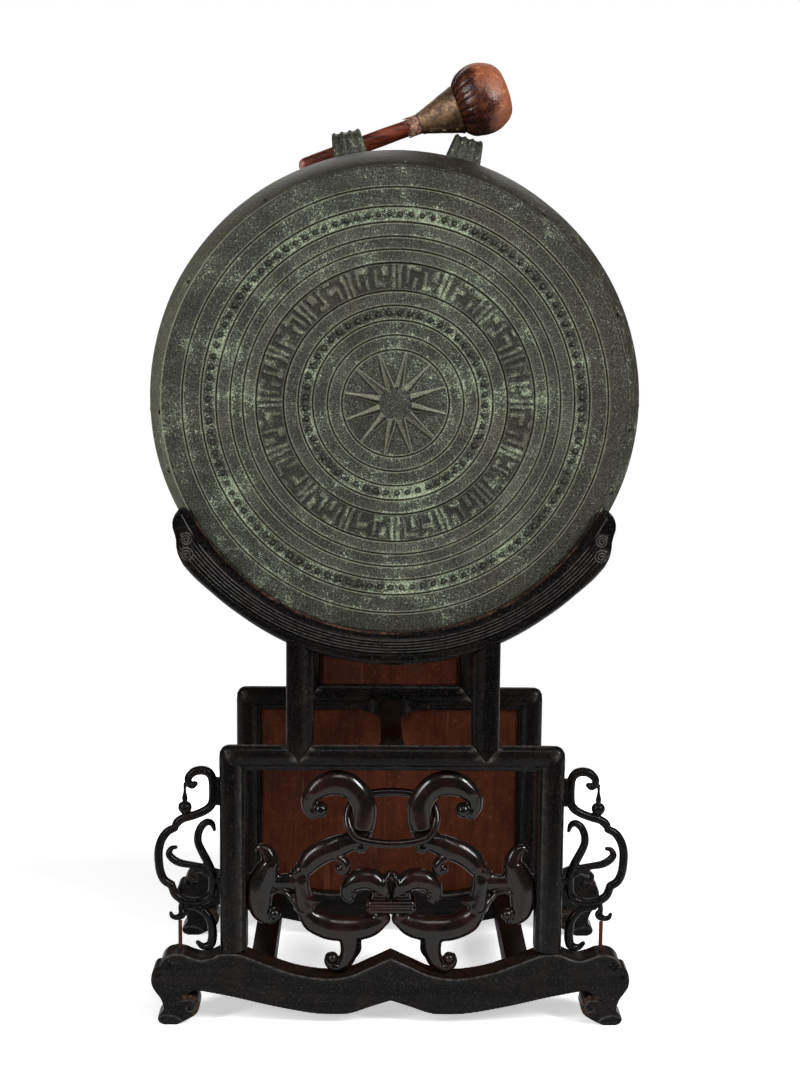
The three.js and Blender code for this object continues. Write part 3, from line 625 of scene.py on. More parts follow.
def face_relief(r, turn, looks, strength):
    """How far the face stands up at this radius; adds to the looks of its points."""
    green, dark, ticks, worn, brown = looks
    count = len(turn)
    x, z = np.sin(turn) * r, np.cos(turn) * r
    # The star's pale points include painted highlights, its dark points painted shade.
    raised, pale, hollow = star_height(np.full(count, r), turn)
    worn += pale
    dark += hollow
    for groove in GROOVES:
        off = r - groove
        raised += -1.3 * hill(off, 0.6) + 0.6 * hill(abs(off) - 1.3, 0.6)
        dark += 1.0 * hill(off, 0.5)
        green += 0.5 * hill(abs(off) - 1.8, 0.9)
        worn += 0.75 * hill(abs(off) - 1.3, 0.5)
    if FIGURE_BAND[0] < r < FIGURE_BAND[1]:
        motif = figure_height(r, turn, strength)
        raised += 2.0 * motif
        green += 0.25 + 0.4 * motif
        worn += 0.36 * motif * (0.7 + 0.3 * np.cos(turn + 0.5))
        dark += 0.95 * np.clip(0.62 - motif, 0, 1)
    for ring, _ in STUD_RINGS:
        green += (0.78 if ring > 100 else 0.7) * (abs(r - ring) < 6.0)
    for low, high, pitch in COMB_BANDS:
        if low + 1.6 < r < high - 1.6:
            ticks += (np.arange(count) % pitch == 0) * 1.0
            raised += 0.25 * ticks
            worn += 0.32 * ticks * np.clip(0.3 + 1.6 * value_noise(x, z, 0.03, 7.0), 0, 1)
    right = np.clip(np.sin(turn), 0, 1)
    green += 0.25 * (189 < r < 207) + 0.1 * (66 < r < 81) - 0.5 * right * (r > 150)
    brown += 0.6 * right * (r > 189)
    dark += 0.16 * (r > 208.5)
    green *= 0.75 + 0.5 * value_noise(x, z, 0.012, 3.1)
    raised += 0.35 * value_noise(x, z, 0.02)
    raised += 0.12 * value_noise(x, z, 0.3, 5.0)
    return raised


def outer_growth(r, y, turn, looks, kind):
    """How far the rest of the skin bulges, with its cast seams and rings; adds to the looks of its points,
    painted shade and painted highlights on the rim among them.
    """
    green, dark, ticks, worn, brown = looks
    flank = kind == "flank"
    grow = 0.4 * value_noise(np.sin(turn) * r, np.cos(turn) * r + y, 0.015, 9.0)
    for seam in SEAMS:
        off = np.abs((turn - seam + math.pi) % (2 * math.pi) - math.pi) * r
        grow += 0.5 * hill(off, 1.1) * flank
    for ring in FLANK_RINGS:
        grow += 0.7 * hill(y - ring, 1.6) * flank
    green += 0.05 * flank
    brown += np.clip(0.4 + 0.6 * np.cos(turn - 0.6), 0, 0.95) * flank
    # Painted shade over the top of the flank.
    dark += 0.85 * np.clip(np.cos(turn), 0, 1) ** 2 * flank
    # A painted highlight on the upper left of the flank.
    worn += 0.4 * np.clip(np.cos(turn + 1.15), 0, 1) * flank * (y < 90)
    # Painted shade in the moat round the face, heaviest at the top.
    dark += 0.85 * (kind == "moat") * np.clip(0.4 + 2 * np.cos(turn - 0.3), 0, 1)
    # A painted highlight along the corner, on the lower left.
    worn += 0.9 * (kind == "corner") * np.clip(-2 * np.cos(turn - 1.2), 0, 1)
    return grow - 0.8 if flank else 0


def around_gong(x, y, reach, turn):
    """Points at this reach from the gong's axis, turned clockwise from its top."""
    return columns(x * math.cos(turn) + reach * math.sin(turn), y,
                   GONG_Z - x * math.sin(turn) + reach * math.cos(turn))


def gong_shell():
    strength = RNG.uniform(0.55, 1.0, FIGURES)
    points, looks = [[[0, FACE_Y - 1.1, GONG_Z]]], [np.zeros((len(LOOKS), 1))]
    faces, start, previous = [], 1, None
    for r, y, count, kind in shell_rows():
        turn = np.arange(count) * 2 * math.pi / count
        look = np.zeros((len(LOOKS), count))
        radius, depth = float(r), float(y)
        if kind == "face":
            depth = depth - face_relief(r, turn, look, strength)
        else:
            radius = radius + outer_growth(r, y, turn, look, kind)
        points.append(columns(np.sin(turn) * radius, depth, GONG_Z + np.cos(turn) * radius))
        looks.append(look)
        if previous is None:
            faces += [(0, start + j, start + (j + 1) % count) for j in range(count)]
        else:
            faces += between(previous, (start, count))
        previous = (start, count)
        start += count
    last, count = previous
    points.append([[0, BACK_OF_FACE, GONG_Z]])
    looks.append(np.zeros((len(LOOKS), 1)))
    faces += [(start, last + j, last + (j + 1) % count) for j in range(count)]
    solid = Solid()
    solid.add(np.concatenate(points), faces)
    for ring, count in STUD_RINGS:
        for k in range(count):
            turn = 2 * math.pi * (k + 0.3) / count
            size = STUD_SIZE * RNG.uniform(0.88, 1.08)
            body, sides = lathe([[size * share, y] for share, y in STUD_PROFILE], 12)
            solid.add(body + [math.sin(turn) * ring, FACE_Y, GONG_Z + math.cos(turn) * ring], sides)
            look = np.zeros((len(LOOKS), len(body)))
            # Dark studs, with a painted highlight on their tips.
            look[LOOKS.index("dirt")] = [1.0] * 36 + [0.6] * 24
            look[LOOKS.index("crest"), 48:] = 0.4
            looks.append(look)
    for degrees, y in NUBS:
        body, sides = lathe([[2.0, 0], [1.9, 1.0], [1.3, 1.7], [0.5, 2.0]], 8)
        reach = 229.0 + (y - 12.6) * 0.62
        solid.add(around_gong(body[:, 0], body[:, 2] + y, body[:, 1] + reach, math.radians(degrees)), sides)
        looks.append(np.tile([[0.1], [0.3], [0.0], [0.0], [0.6]], len(body)))
    shell = solid.made("gong_shell")
    paint(shell, **dict(zip(LOOKS, np.concatenate(looks, axis=1))))
    return shell


def between(inside, outside):
    """Faces between two rings of points whose counts are equal or differ by a factor of two."""
    (a, na), (b, nb) = inside, outside
    if na == nb:
        return [(a + j, a + (j + 1) % na, b + (j + 1) % nb, b + j) for j in range(na)]
    if na > nb:
        return [tuple(reversed(face)) for face in between(outside, inside)]
    faces = []
    for j in range(na):
        k, j1 = 2 * j, (j + 1) % na
        near, mid, far = b + k, b + k + 1, b + (k + 2) % nb
        faces += [(a + j, near, mid), (a + j, mid, a + j1), (a + j1, mid, far)]
    return faces


# The middle line of a strap handle: [depth, reach from the gong's axis].
STRAP_MIDDLE = [[86.5, 238], [90.5, 251], [98, 262], [109, 267], [125, 268], [141, 265.3], [153, 256],
                [161.5, 239], [168.5, 207]]
STRAP_HALF = 2.6
STRAP_WIDTHS = (34, 28.6)  # at its feet and over its crown
STRAP_CORDS = (-0.84, -0.28, 0.28, 0.84)


def strap_handle(name, degrees):
    """A cast strap with corded ribs down its edges and middle."""
    path = spline(STRAP_MIDDLE, 13)
    along = unit_rows(np.gradient(path, axis=0))
    run = np.concatenate([[0], np.cumsum(np.linalg.norm(np.diff(path, axis=0), axis=1))])
    top, under = np.linspace(-1, 1, 41), np.linspace(1, -1, 13)
    foot, crown = STRAP_WIDTHS
    lows = np.full(len(under), -STRAP_HALF)
    lows[[0, -1]] += 0.8
    rings = []
    for (y, r), (dy, dr), s in zip(path, along, run):
        half = (foot + (crown - foot) * min(max((r - 246) / 22, 0), 1)) / 2
        ribs = sum(hill(top - c, 0.13) * (0.9 + 0.25 * np.sin(s * 2.4 + (top - c) * 26)) for c in STRAP_CORDS)
        braid = 0.2 * np.sin(s * 2.1) * hill(np.abs(top) - 0.56, 0.1)
        lift = STRAP_HALF - 1.6 + 1.6 * ribs + braid
        lift[[0, -1]] = STRAP_HALF - 1.5
        off = np.concatenate([lift, lows])
        rings.append(around_gong(np.concatenate([top, under]) * half, y - dr * off, r + dy * off,
                                 math.radians(degrees)))
    obj = made(name, *loft(rings))
    plain = np.zeros(len(under))
    green = (np.abs(np.abs(top) - 0.55) < 0.24) * 0.2
    dark = 0.75 * hill(np.abs(top) - 0.56, 0.12) + 0.75 * hill(top, 0.1)
    paint(obj, verdigris=np.tile(np.concatenate([green, plain]), len(rings)),
          dirt=np.tile(np.concatenate([dark, plain]), len(rings)), comb=0, crest=0, earth=0)
    return obj


finished(gong_shell(), "gong", "gong_bronze", BRONZE, "drum_shell")
for corner, degrees in (("upper_left", -10.9), ("upper_right", 15.8), ("lower_left", 195.8),
                        ("lower_right", 169.1)):
    finished(strap_handle(f"strap_{corner}", degrees), "gong", "gong_bronze", BRONZE, f"handle_{corner}")


# ---------------------------------------------------------------- the mallet
MALLET_CENTRE = np.array([0.0, 125.0, 898.4])
MALLET_TILT = math.radians(20.3)
HEAD_PROFILE = [[24.4, 66.9], [27.4, 69], [33, 75], [36.2, 84], [36.8, 92], [35.4, 100.4], [32.4, 107],
                [28.4, 113], [21.6, 117.6], [11, 119.7], [1, 120]]
HEAD_SIDES = 160
FERRULE_FROM, FERRULE_LENGTH = 25, 41.5
FERRULE_NARROW, FERRULE_WIDE = 10.4, 24.6
BINDING_HAIRS = 150


def on_mallet(points, lift=0.0):
    """Points turned about +Y, laid along the mallet's tilted axis; local +Z faces the viewer."""
    p = np.asarray(points, dtype=float)
    along = np.array([math.cos(MALLET_TILT), 0, math.sin(MALLET_TILT)])
    up = np.array([-math.sin(MALLET_TILT), 0, math.cos(MALLET_TILT)])
    height = -p[:, 0] + lift * np.clip((p[:, 1] - 66.5) / 15, 0, 1)
    return MALLET_CENTRE + p[:, 1:2] * along + height[:, None] * up - p[:, 2:3] * np.array([0, 1, 0])


def mallet_shaft():
    profile = spline([[0.8, -104.4], [3.0, -103.9], [5.4, -102.6], [7.2, -100.4], [8.0, -97.5], [8.2, -93],
                      [8.3, -60], [8.6, -20], [8.3, 10], [8.5, 40], [8.5, 99]], 5)

    def knobbly(r, y, angles):
        return r + 0.12 * np.sin(angles * 3 + y * 0.09) + 0.1 * np.sin(angles * 5 - y * 0.06)

    body, faces = lathe(profile, 40, knobbly)
    obj = made("mallet_shaft_turned", on_mallet(body), faces)
    paint(obj, bare=np.repeat(np.clip((-97.5 - profile[:, 1]) / 4, 0, 1), 40))
    return obj


def mallet_binding():
    """A sleeve of wound fibre under loose frayed hairs."""
    solid = Solid()
    sleeve, faces = lathe([[8.9, 14], [9.1, 15.5], [9.3, 20], [9.7, 24.9], [8.9, 26]], 40,
                          lambda r, y, angles: r + 0.25 * np.sin(angles * 17 + y))
    solid.add(on_mallet(sleeve), faces)
    steps = np.linspace(0, 1, 6)
    for k in range(BINDING_HAIRS):
        turn = RNG.uniform(0, 2 * math.pi)
        end = RNG.uniform(9, 19)
        swing = RNG.normal(0, 0.28)
        rise = RNG.uniform(0.1, 0.9)
        angle = turn + swing * steps + 0.12 * np.sin(steps * 7 + k)
        reach = 9.3 + 0.6 * (1 - steps) + rise * steps**2
        line = columns(np.sin(angle) * reach, 25.5 - (25.5 - end) * steps, np.cos(angle) * reach)
        body, faces = tube(line, 0.38 - 0.22 * steps, 5)
        solid.add(on_mallet(body), faces)
    return solid.made("frayed_binding")


def ferrule_radius(s):
    return FERRULE_NARROW + (FERRULE_WIDE - FERRULE_NARROW) * (s - FERRULE_FROM) / FERRULE_LENGTH


def mallet_ferrule():
    """A rolled cone of thin sheet, overlapped along one seam."""
    profile = [[ferrule_radius(s) + bead, s] for s, bead in
               [(25.1, -0.3), (25.4, 0.15), (26.6, 0.5), (27.8, 0.1), (30, 0), (36, 0.1), (44, -0.1), (52, 0.1),
                (60, 0), (63.2, 0.1), (64.4, 0.55), (65.6, 0.2), (66.3, -0.3)]]
    profile += [[ferrule_radius(s) - 1.2, s] for s in (66.3, 56, 46, 36, 25.1)]

    def seamed(r, y, angles):
        seam = (angles - 0.75) % (2 * math.pi)
        dents = 0.22 * np.sin(angles * 3 + y * 0.13) + 0.15 * np.sin(angles * 7 - y * 0.21)
        return r + 0.7 * np.clip(1 - seam / 0.5, 0, 1) * (seam > 0) + dents

    body, _ = lathe(profile, 96, seamed)
    return made("cone_ferrule", on_mallet(body), grid_faces(len(profile), 96, closed=True))


def ferrule_rivets():
    """Domes on the cone: the one rivet of the seam's row that the CAD has, and those beside it."""
    solid = Solid()
    slope = math.atan2(FERRULE_WIDE - FERRULE_NARROW, FERRULE_LENGTH)
    c, d = math.cos(slope), math.sin(slope)
    for turn, s in ((1.0, 33), (1.0, 46), (1.0, 59), (-0.9, 62), (2.6, 62)):
        radius = ferrule_radius(s) + 0.5
        body, faces = lathe([[2.0, -0.6], [1.95, 0.3], [1.5, 0.9], [0.7, 1.2]], 14)
        x, y, z = body.T  # y becomes the cone's outward normal at this turn
        outward = radius + z * d + y * c
        ct, st = math.cos(turn), math.sin(turn)
        solid.add(on_mallet(columns(x * ct + outward * st, s + z * c - y * d, outward * ct - x * st)), faces)
    return solid.made("cone_rivets")


def pleat_wave(angles, y):
    """Narrow folds between wide pleats, from about -0.7 in a fold to 0.3 on a pleat."""
    return 0.3 - np.abs(np.cos(angles * 11 + 0.9 * np.sin(angles * 2) + y * 0.015)) ** 7


def mallet_head():
    """A hide cover gathered in pleats at the ferrule."""
    profile = spline(HEAD_PROFILE, 7)
    profile[:, 0] = np.maximum(profile[:, 0], 0.4)
    profile = np.vstack([[22.6, 65.6], [23.6, 66.0], profile])

    def gathered(r, y, angles):
        near = np.clip((92 - y) / 25, 0, 1)
        lumps = 0.35 * np.sin(angles * 3 + 0.6) + 0.25 * np.sin(angles * 2 - y * 0.07)
        share = np.clip((120.5 - y) / 8, 0, 1)
        return r + 1.9 * pleat_wave(angles, y) * near**1.1 + (lumps - 0.75) * share

    body, faces = lathe(profile, HEAD_SIDES, gathered)
    obj = made("mallet_head", on_mallet(body, lift=2.0), faces)
    s = np.repeat(profile[:, 1], HEAD_SIDES)
    wave = np.tile(circle(HEAD_SIDES), len(profile))
    # worn is paler wear toward the dome; fold is painted shade in the pleats' folds.
    paint(obj, worn=np.clip((s - 88 - 7 * np.sin(wave * 2 + 1.1) - 4 * np.sin(wave * 5)) / 14, 0, 1),
          fold=np.clip(-pleat_wave(wave, s) * 1.6, 0, 1) * np.clip((90 - s) / 12, 0, 1))
    return obj


finished(mallet_shaft(), "mallet", "mallet_wood", SHAFT, "mallet_shaft")
finished(mallet_binding(), "mallet", "binding_cord", FIBRE, "mallet_binding")
finished(mallet_ferrule(), "mallet", "sheet_bronze", SHEET, "mallet_ferrule")
finished(ferrule_rivets(), "mallet", "sheet_bronze", SHEET, "ferrule_rivet")
head = finished(mallet_head(), "mallet", "mallet_leather", HIDE, "mallet_head_cover", "mallet_head_padding")


# ---------------------------------------------------------------- the frames of the stand
POST_INNER, POST_WIDTH, POST_FOOT = 146.5, 26.5, 77.0
RAIL_TOP, RAIL_BOTTOM, RAIL_HEIGHT = 294.0, 265.4, 26.8
UPRIGHT_OUTER, UPRIGHT_INNER, UPRIGHT_TIP, NOTCH = 106.1, 79.7, 93.4, 18.0
CRADLE_TIP = (95.5, 398.0)
GAP = 0.3
CORNER_X, CORNER_Z = 162.0, 281.2  # where a mitred frame's corner begins to round
# Moulded fronts, from a member's inner edge to its outer edge: [distance, depth].
MEMBER_FRONT = [[0, 10.4], [0.3, 9], [1, 8], [2.2, 7.3], [4, 7], [4.8, 6.4], [5.2, 5.4], [7, 3.4], [9.5, 1.9],
                [12, 0.9], [15, 0.3], [18, 0.1], [20.5, 0.5], [22.6, 1.5], [24.2, 3.1], [25.2, 4.6],
                [26.1, 6.4], [26.5, 8.4]]
UPRIGHT_FRONT = [[0, 8.4], [0.4, 7.2], [1.2, 6.3], [3.4, 5], [6, 3.4], [8.6, 1.9], [10, 1.2], [11.4, 0.75],
                 [13.4, 0.35], [17, 0.1], [21, 0.3], [23.6, 0.9], [25.3, 1.9], [26.1, 3.2], [26.4, 4.8]]
MEMBER_LEAN = 7.5  # how much narrower a member is at its back
CORNER_SHINE = [[[-164.0, 3.0, 283.4]], [[164.0, 3.0, 283.4]]]  # painted highlights where the mitres meet at the rounded corners


def member_section(front, width, lean=0.0):
    """[distance from the inner edge, depth] right round a member."""
    scale = width / front[-1][0]
    face = [[t * scale, y] for t, y in front]
    edge, back = FRAME_DEPTH - 1.0, FRAME_DEPTH - 0.1
    # The last two points stay close behind the moulding, so that no light passes a panel's edge.
    return np.array(face + [[width - lean, edge], [width - lean - 1.0, back], [1.0, back], [-0.4, edge],
                            [-0.4, 12.0]])


def rounded_corner(points):
    """Rounds the square outer corner of a mitred frame."""
    x, z = np.abs(points[:, 0]) - CORNER_X, points[:, 2] - CORNER_Z
    inside = (x > 0) & (z > 0)
    shrink = np.where(inside, np.maximum(x, z) / np.maximum(np.hypot(x, z), 1e-6), 1.0)
    points[:, 2] = np.where(inside, CORNER_Z + z * shrink, points[:, 2])
    points[:, 0] = np.where(inside, np.sign(points[:, 0]) * (CORNER_X + x * shrink), points[:, 0])
    return points


def notched(obj, outline):
    """Cuts a notch right through, left and right of the middle."""
    notches = Solid()
    for side, _ in SIDES:
        notches.add(*prism([(side * x, z) for x, z in outline], -5, FRAME_DEPTH + 5))
    return cut(obj, notches.made("notches"))


def post(side):
    section = member_section(MEMBER_FRONT, POST_WIDTH, MEMBER_LEAN)
    tops = RAIL_BOTTOM - 0.25 + section[:, 0] / POST_WIDTH * RAIL_HEIGHT
    points, faces = loft([columns(side * (POST_INNER + section[:, 0]), section[:, 1],
                                  POST_FOOT + (tops - POST_FOOT) * k) for k in np.linspace(0, 1, 30)])
    return rounded_corner(points), faces


def upright(side):
    section = member_section(UPRIGHT_FRONT, UPRIGHT_OUTER - UPRIGHT_INNER)
    x = UPRIGHT_INNER + section[:, 0]
    low = np.interp(x, [UPRIGHT_INNER, UPRIGHT_TIP, UPRIGHT_OUTER], [RAIL_TOP, RAIL_TOP - NOTCH, RAIL_TOP])
    crown = np.interp(section[:, 1], [0.1, 0.5, 1.5, 3.1, 4.6, 6.4, 8.4, FRAME_DEPTH],
                      [283.6, 286.1, 288.3, 289.9, 290.9, 291.8, 292.2, 284.6])
    low = np.minimum(low, crown) + 0.1
    high = np.interp(x, [UPRIGHT_INNER, CRADLE_TIP[0], UPRIGHT_OUTER], [385.5, CRADLE_TIP[1], 396.5]) - 0.1
    return loft([columns(side * x, section[:, 1], low + (high - low) * k) for k in np.linspace(0, 1, 14)])


def mitre_line(side):
    """Points down one V-shaped mitre of the top rail and up again, just off its front."""
    xs = np.linspace(UPRIGHT_INNER, UPRIGHT_OUTER, 60)
    away = np.where(xs < UPRIGHT_TIP, (UPRIGHT_TIP - xs) / (UPRIGHT_TIP - UPRIGHT_INNER),
                    (xs - UPRIGHT_TIP) / (UPRIGHT_OUTER - UPRIGHT_TIP))
    return columns(side * xs, 0.5 + 4 * away**2, RAIL_TOP - NOTCH - 0.5 + NOTCH * away)


def top_rail():
    section = member_section(MEMBER_FRONT, RAIL_HEIGHT, MEMBER_LEAN * RAIL_HEIGHT / POST_WIDTH)
    reach = POST_INNER + section[:, 0] / RAIL_HEIGHT * POST_WIDTH
    stops = sorted([*np.linspace(-1, 1, 41), 0.992, -0.992, 0.984, -0.984, 0.975, -0.975])
    points, faces = loft([columns(reach * k, section[:, 1], RAIL_BOTTOM + section[:, 0]) for k in stops])
    outer, inner = UPRIGHT_OUTER + GAP, UPRIGHT_INNER - GAP
    rail = notched(made("rail", rounded_corner(points), faces),
                   [(outer, RAIL_TOP + 6), (outer, RAIL_TOP), (UPRIGHT_TIP, RAIL_TOP - NOTCH - 0.2),
                    (inner, RAIL_TOP), (inner, RAIL_TOP + 6)])
    creased(rail, 38)
    places = stand_points(rail)
    edge = np.linspace(-160, 160, 161)
    # Painted highlights along the top edge, the lower bead and the rounded corners, and pale lines of dust and
    # painted highlight down the V-shaped mitres.
    worn_lines = [(0.5, [columns(edge, 7.6, RAIL_BOTTOM + RAIL_HEIGHT - 0.3)], 1.6),
                  (0.3, [columns(edge * 0.9, 6.8, RAIL_BOTTOM + 4.9)], 0.8), (0.9, CORNER_SHINE, 3.0),
                  (0.75, [mitre_line(side) for side, _ in SIDES], 1.0)]
    paint(rail, chalk=np.maximum.reduce([share * closeness(places, *line) for share, *line in worn_lines]))
    return rail


# The base rail's outline, on its left half: [x, z].
BASE_TOP = [[0, 72], [-20, 62.5], [-40, 53.5], [-60, 50], [-80, 51.5], [-100, 55.5], [-120, 62.5],
            [-140, 70.5], [-152, 75], [-163, 76.3], [-173, 75.5], [-182, 71.5], [-192, 69.5], [-202, 72],
            [-210, 75.3], [-219, 76], [-227, 73.5], [-232.5, 67.5], [-234, 61]]
BASE_SIDE = [[-234, 61], [-238, 60.5], [-241.5, 56], [-243, 48], [-242, 41], [-238, 34], [-233.5, 27.5],
             [-231, 20.5], [-231, 15], [-234.5, 10.5], [-236.5, 7], [-235, 2.5], [-230, 0]]
BASE_SCROLL = [[-217, 0], [-211.5, 2.5], [-200, 9], [-195.5, 14], [-194, 20.5], [-196.5, 27], [-201.5, 31],
               [-208.5, 30.5]]
BASE_UNDER = [[-208.5, 30.5], [-202, 35.2], [-194, 36], [-160, 29.5], [-120, 20], [-80, 12.5], [-55, 11.2],
              [-40, 12.5], [-20, 19.5], [0, 26]]
# Lines carved in its ends.
BASE_CURL = [[-231.3, 64], [-228, 58.4], [-223.4, 60.8], [-225.6, 64.6]]
BASE_LOBE = [[-238.5, 58.2], [-240, 52.5], [-236.5, 49.5], [-234, 52.5]]
BASE_VOLUTE = [[-216, 24.6], [-209, 26.6], [-201.8, 26.2], [-198.2, 20.5], [-200.8, 15.2], [-206, 15.4],
               [-207.6, 19.6], [-204.6, 21.6]]
BASE_TOE = [[-236, 8.5], [-228, 10.2], [-219, 8.8], [-213, 5]]
BASE_NOTCH = [[209, 29], [203, 30.2], [198.5, 27.5], [196, 22.5], [196, 17.5], [199, 12]]


def base_rail():
    half = [tuple(p) for run in (BASE_TOP, BASE_SIDE, BASE_SCROLL, BASE_UNDER) for p in spline(run, 4)]
    outline = half + mirrored(half)
    outline = [p for k, p in enumerate(outline) if math.dist(p, outline[k - 1]) > 0.05]
    solid = Solid()
    solid.add(*prism(outline, 2.3, FRAME_DEPTH - 0.4))
    beads, scrolls = [], []

    def carved_line(side, line, y, radii):
        run = columns(side * -line[:, 0], y, line[:, 1])
        if radii is not None:
            solid.add(*tube(run, radii))
        return run

    crest, curl, lobe = spline(BASE_TOP[:18], 14), spline(BASE_CURL, 6), spline(BASE_LOBE, 6)
    volute, toe = spline(BASE_VOLUTE, 6), spline(BASE_TOE, 8)
    swelling = np.concatenate([np.linspace(0.6, 1.6, 10), np.linspace(1.6, 1.0, len(volute) - 10)])
    for side, _ in SIDES:
        beads.append(carved_line(side, crest - [0, 2.5], 2.6, 2.4))
        carved_line(side, curl, 2.2, np.linspace(2.1, 1.0, len(curl)))
        carved_line(side, lobe, 2.2, np.linspace(1.9, 0.8, len(lobe)))
        scrolls.append(carved_line(side, volute, 2.1, swelling) + [0, -1.6, 0])
        scrolls.append(carved_line(side, toe, 2.2, None))
        solid.add(*stroke([[side * 226, 3.0, 2.6], [side * 220, 3.0, 2.4]], 16, 5.2, deepest=13.8))
    base = remeshed(solid.made("base"), 1.0, 2)
    places = stand_points(base)
    height = np.interp(np.abs(places[:, 0]), -np.array(BASE_TOP)[:, 0], np.array(BASE_TOP)[:, 1])
    ledge = (np.abs(places[:, 2] - height) < 1.4) * (places[:, 1] > 4.5) * 0.05
    notch = np.array(BASE_NOTCH)
    notches = [columns(side * notch[:, 0], 2.5, notch[:, 1]) for side, _ in SIDES]
    # A painted highlight along the top of each bead, and pale lines of dust and painted highlight along the
    # carved scrolls and the toe.
    chalk = 0.4 * closeness(places, [run + [0, -1.7, 1.7] for run in beads], 1.2)
    paint(base, wear=np.maximum(ledge, 0.4 * closeness(places, notches, 2.2)),
          chalk=np.maximum(chalk, 0.4 * closeness(places, scrolls, 0.9)))
    return base


CRADLE_LIP = 225.5
# The cradle's outer edge: [degrees from the bottom, radius].
CRADLE_EDGE = [[0, 258.9], [19, 259.2], [24, 259.4], [35.4, 258.6], [43.9, 259.4], [49, 261.2], [52.4, 261.6],
               [55, 259.3], [56.6, 256.2], [57.8, 252.6], [59.2, 250.6], [60.6, 249.2], [61.8, 246.6],
               [62.6, 242.6], [63.1, 238], [63.3, 233.4], [63.2, 229]]
# The left horn's outline, and the volutes on it: x, z, radius, where the coil starts.
HORN_OUTLINE = [[-203.5, 529.2], [-209, 528.8], [-213.6, 525.2], [-216.6, 518.5], [-216.6, 510],
                [-213.6, 501.5], [-212.2, 498], [-212.7, 490], [-210.2, 480.6], [-204.6, 472]]
VOLUTES = [(203.6, 499.6, 7.6, 0.6), (203.0, 484.4, 8.4, 0.2)]
REEDS = 5
REED_FIRST, REED_LAST, REED_SPAN = 232.7, 246.8, 14.1


def reed_fan(degrees):
    """How far the reeds have spread at an angle from the bottom, 0 to 1."""
    return np.interp(degrees, [0, 35, 49, 56], [0, 0.35, 0.8, 1.0])


def drum_room(shift):
    """The space that the cradle at this depth leaves free for the gong."""
    front = FACE_Y - 0.35
    flank = [(r + 0.7, y) for y, r in spline(FLANK, 4)]
    points, faces = lathe([(60, front), (229.1, front), *flank, (225.7, 290), (60, 290)], 360)
    return made("drum_room", points + [0, -shift, GONG_Z], faces)


def cradle_ring(degrees):
    """The arc's section at an angle from the bottom: cove, reeds, a heavy half-round and a flat back."""
    a = abs(degrees)
    outer = float(np.interp(a, *np.array(CRADLE_EDGE).T))
    fan = reed_fan(a)
    first, last = REED_FIRST + 2.6 * fan, min(REED_LAST + 5.2 * fan, outer - 2.0)
    fade = 1 - np.clip((a - 53.5) / 3.5, 0, 1)
    cove_depth = 1.5 + 1.5 * np.sin(np.linspace(0.05, 1, 9) * math.pi)
    cove_depth[0] = 2.4
    phase = np.linspace(0, REEDS, REEDS * 8 + 1)[1:] % 1
    reed_depth = 1.1 + (1.9 * (1 - np.sqrt(np.clip(1 - (2 * phase - 1) ** 2, 0, 1)))) * fade
    roll = np.linspace(0, 1, 15)[1:]
    roll_depth = 0.7 + 6.4 * (np.maximum(roll - 0.42, 0) / 0.58) ** 2.6
    roll_depth += 2.2 * fade * np.clip(1 - roll / 0.16, 0, 1) ** 2
    back = [(outer, 2.5), (outer - 1.2, 0.4), ((CRADLE_LIP + outer) / 2, 0.2), (CRADLE_LIP + 1.2, 0.4),
            (CRADLE_LIP + 0.3, 1.5), (CRADLE_LIP + 0.3, FRAME_DEPTH - 5.0)]
    r = np.concatenate([np.linspace(CRADLE_LIP + 0.3, first, 9), np.linspace(first, last, REEDS * 8 + 1)[1:],
                        last + (outer - last) * roll, [radius for radius, _ in back]])
    y = np.concatenate([cove_depth, reed_depth, roll_depth, [FRAME_DEPTH - inset for _, inset in back]])
    turn = math.radians(degrees)
    return columns(r * math.sin(turn), y, GONG_Z - r * math.cos(turn))


def cradle(shift):
    """A reeded arc for the frame at this depth, ending in horns and pairs of volutes."""
    angles = np.concatenate([np.linspace(0, 60, 121), np.linspace(60.4, 62.4, 9)])
    rings = [cradle_ring(degrees) for degrees in np.concatenate([-angles[:0:-1], angles])]
    outer, inner = UPRIGHT_OUTER + 0.2, UPRIGHT_INNER - 0.2
    arc = notched(made("arc", *loft(rings)),
                  [(outer, 380), (outer, 396.6), (CRADLE_TIP[0], CRADLE_TIP[1] + 0.15), (inner, 385.6),
                   (inner, 372)])
    # The exact boolean only works on single closed bodies, so each is cut before they are joined.
    solid = Solid()
    solid.add(*taken(cut(arc, drum_room(shift))))
    horn = spline(HORN_OUTLINE, 5).tolist()
    for radius, stops in ((-236.5, (52, 55, 58)), (-226.2, (58.5, 60, 61.6))):
        horn += [[radius * math.sin(a), GONG_Z + radius * math.cos(a)] for a in map(math.radians, stops)]
    coils = []
    for side, _ in SIDES:
        outline = horn if side < 0 else mirrored(horn)
        end = bevelled(made("horn", *prism(outline, 2.2, FRAME_DEPTH - 0.3)), 2.6, 4, 50)
        solid.add(*taken(cut(end, drum_room(shift))))
        for x, z, size, start in VOLUTES:
            turns = np.linspace(0, 2 * math.pi * 2.4, 72)
            reach = size - 1.2 - (size - 2.0) * turns / turns[-1]
            coil = columns(side * (x + reach * np.cos(turns + start)), 2.0 - 0.8 * turns / turns[-1],
                           z + reach * np.sin(turns + start))
            solid.add(*tube(coil, np.linspace(1.25, 1.0, 72), 10))
            # Each coil gets a pale line of dust and painted highlight on its upper front.
            coils.append(coil + [0, -1.1, 0.5])
    arc = creased(solid.made("arc"), 50)
    paint_cradle(arc, coils)
    return arc


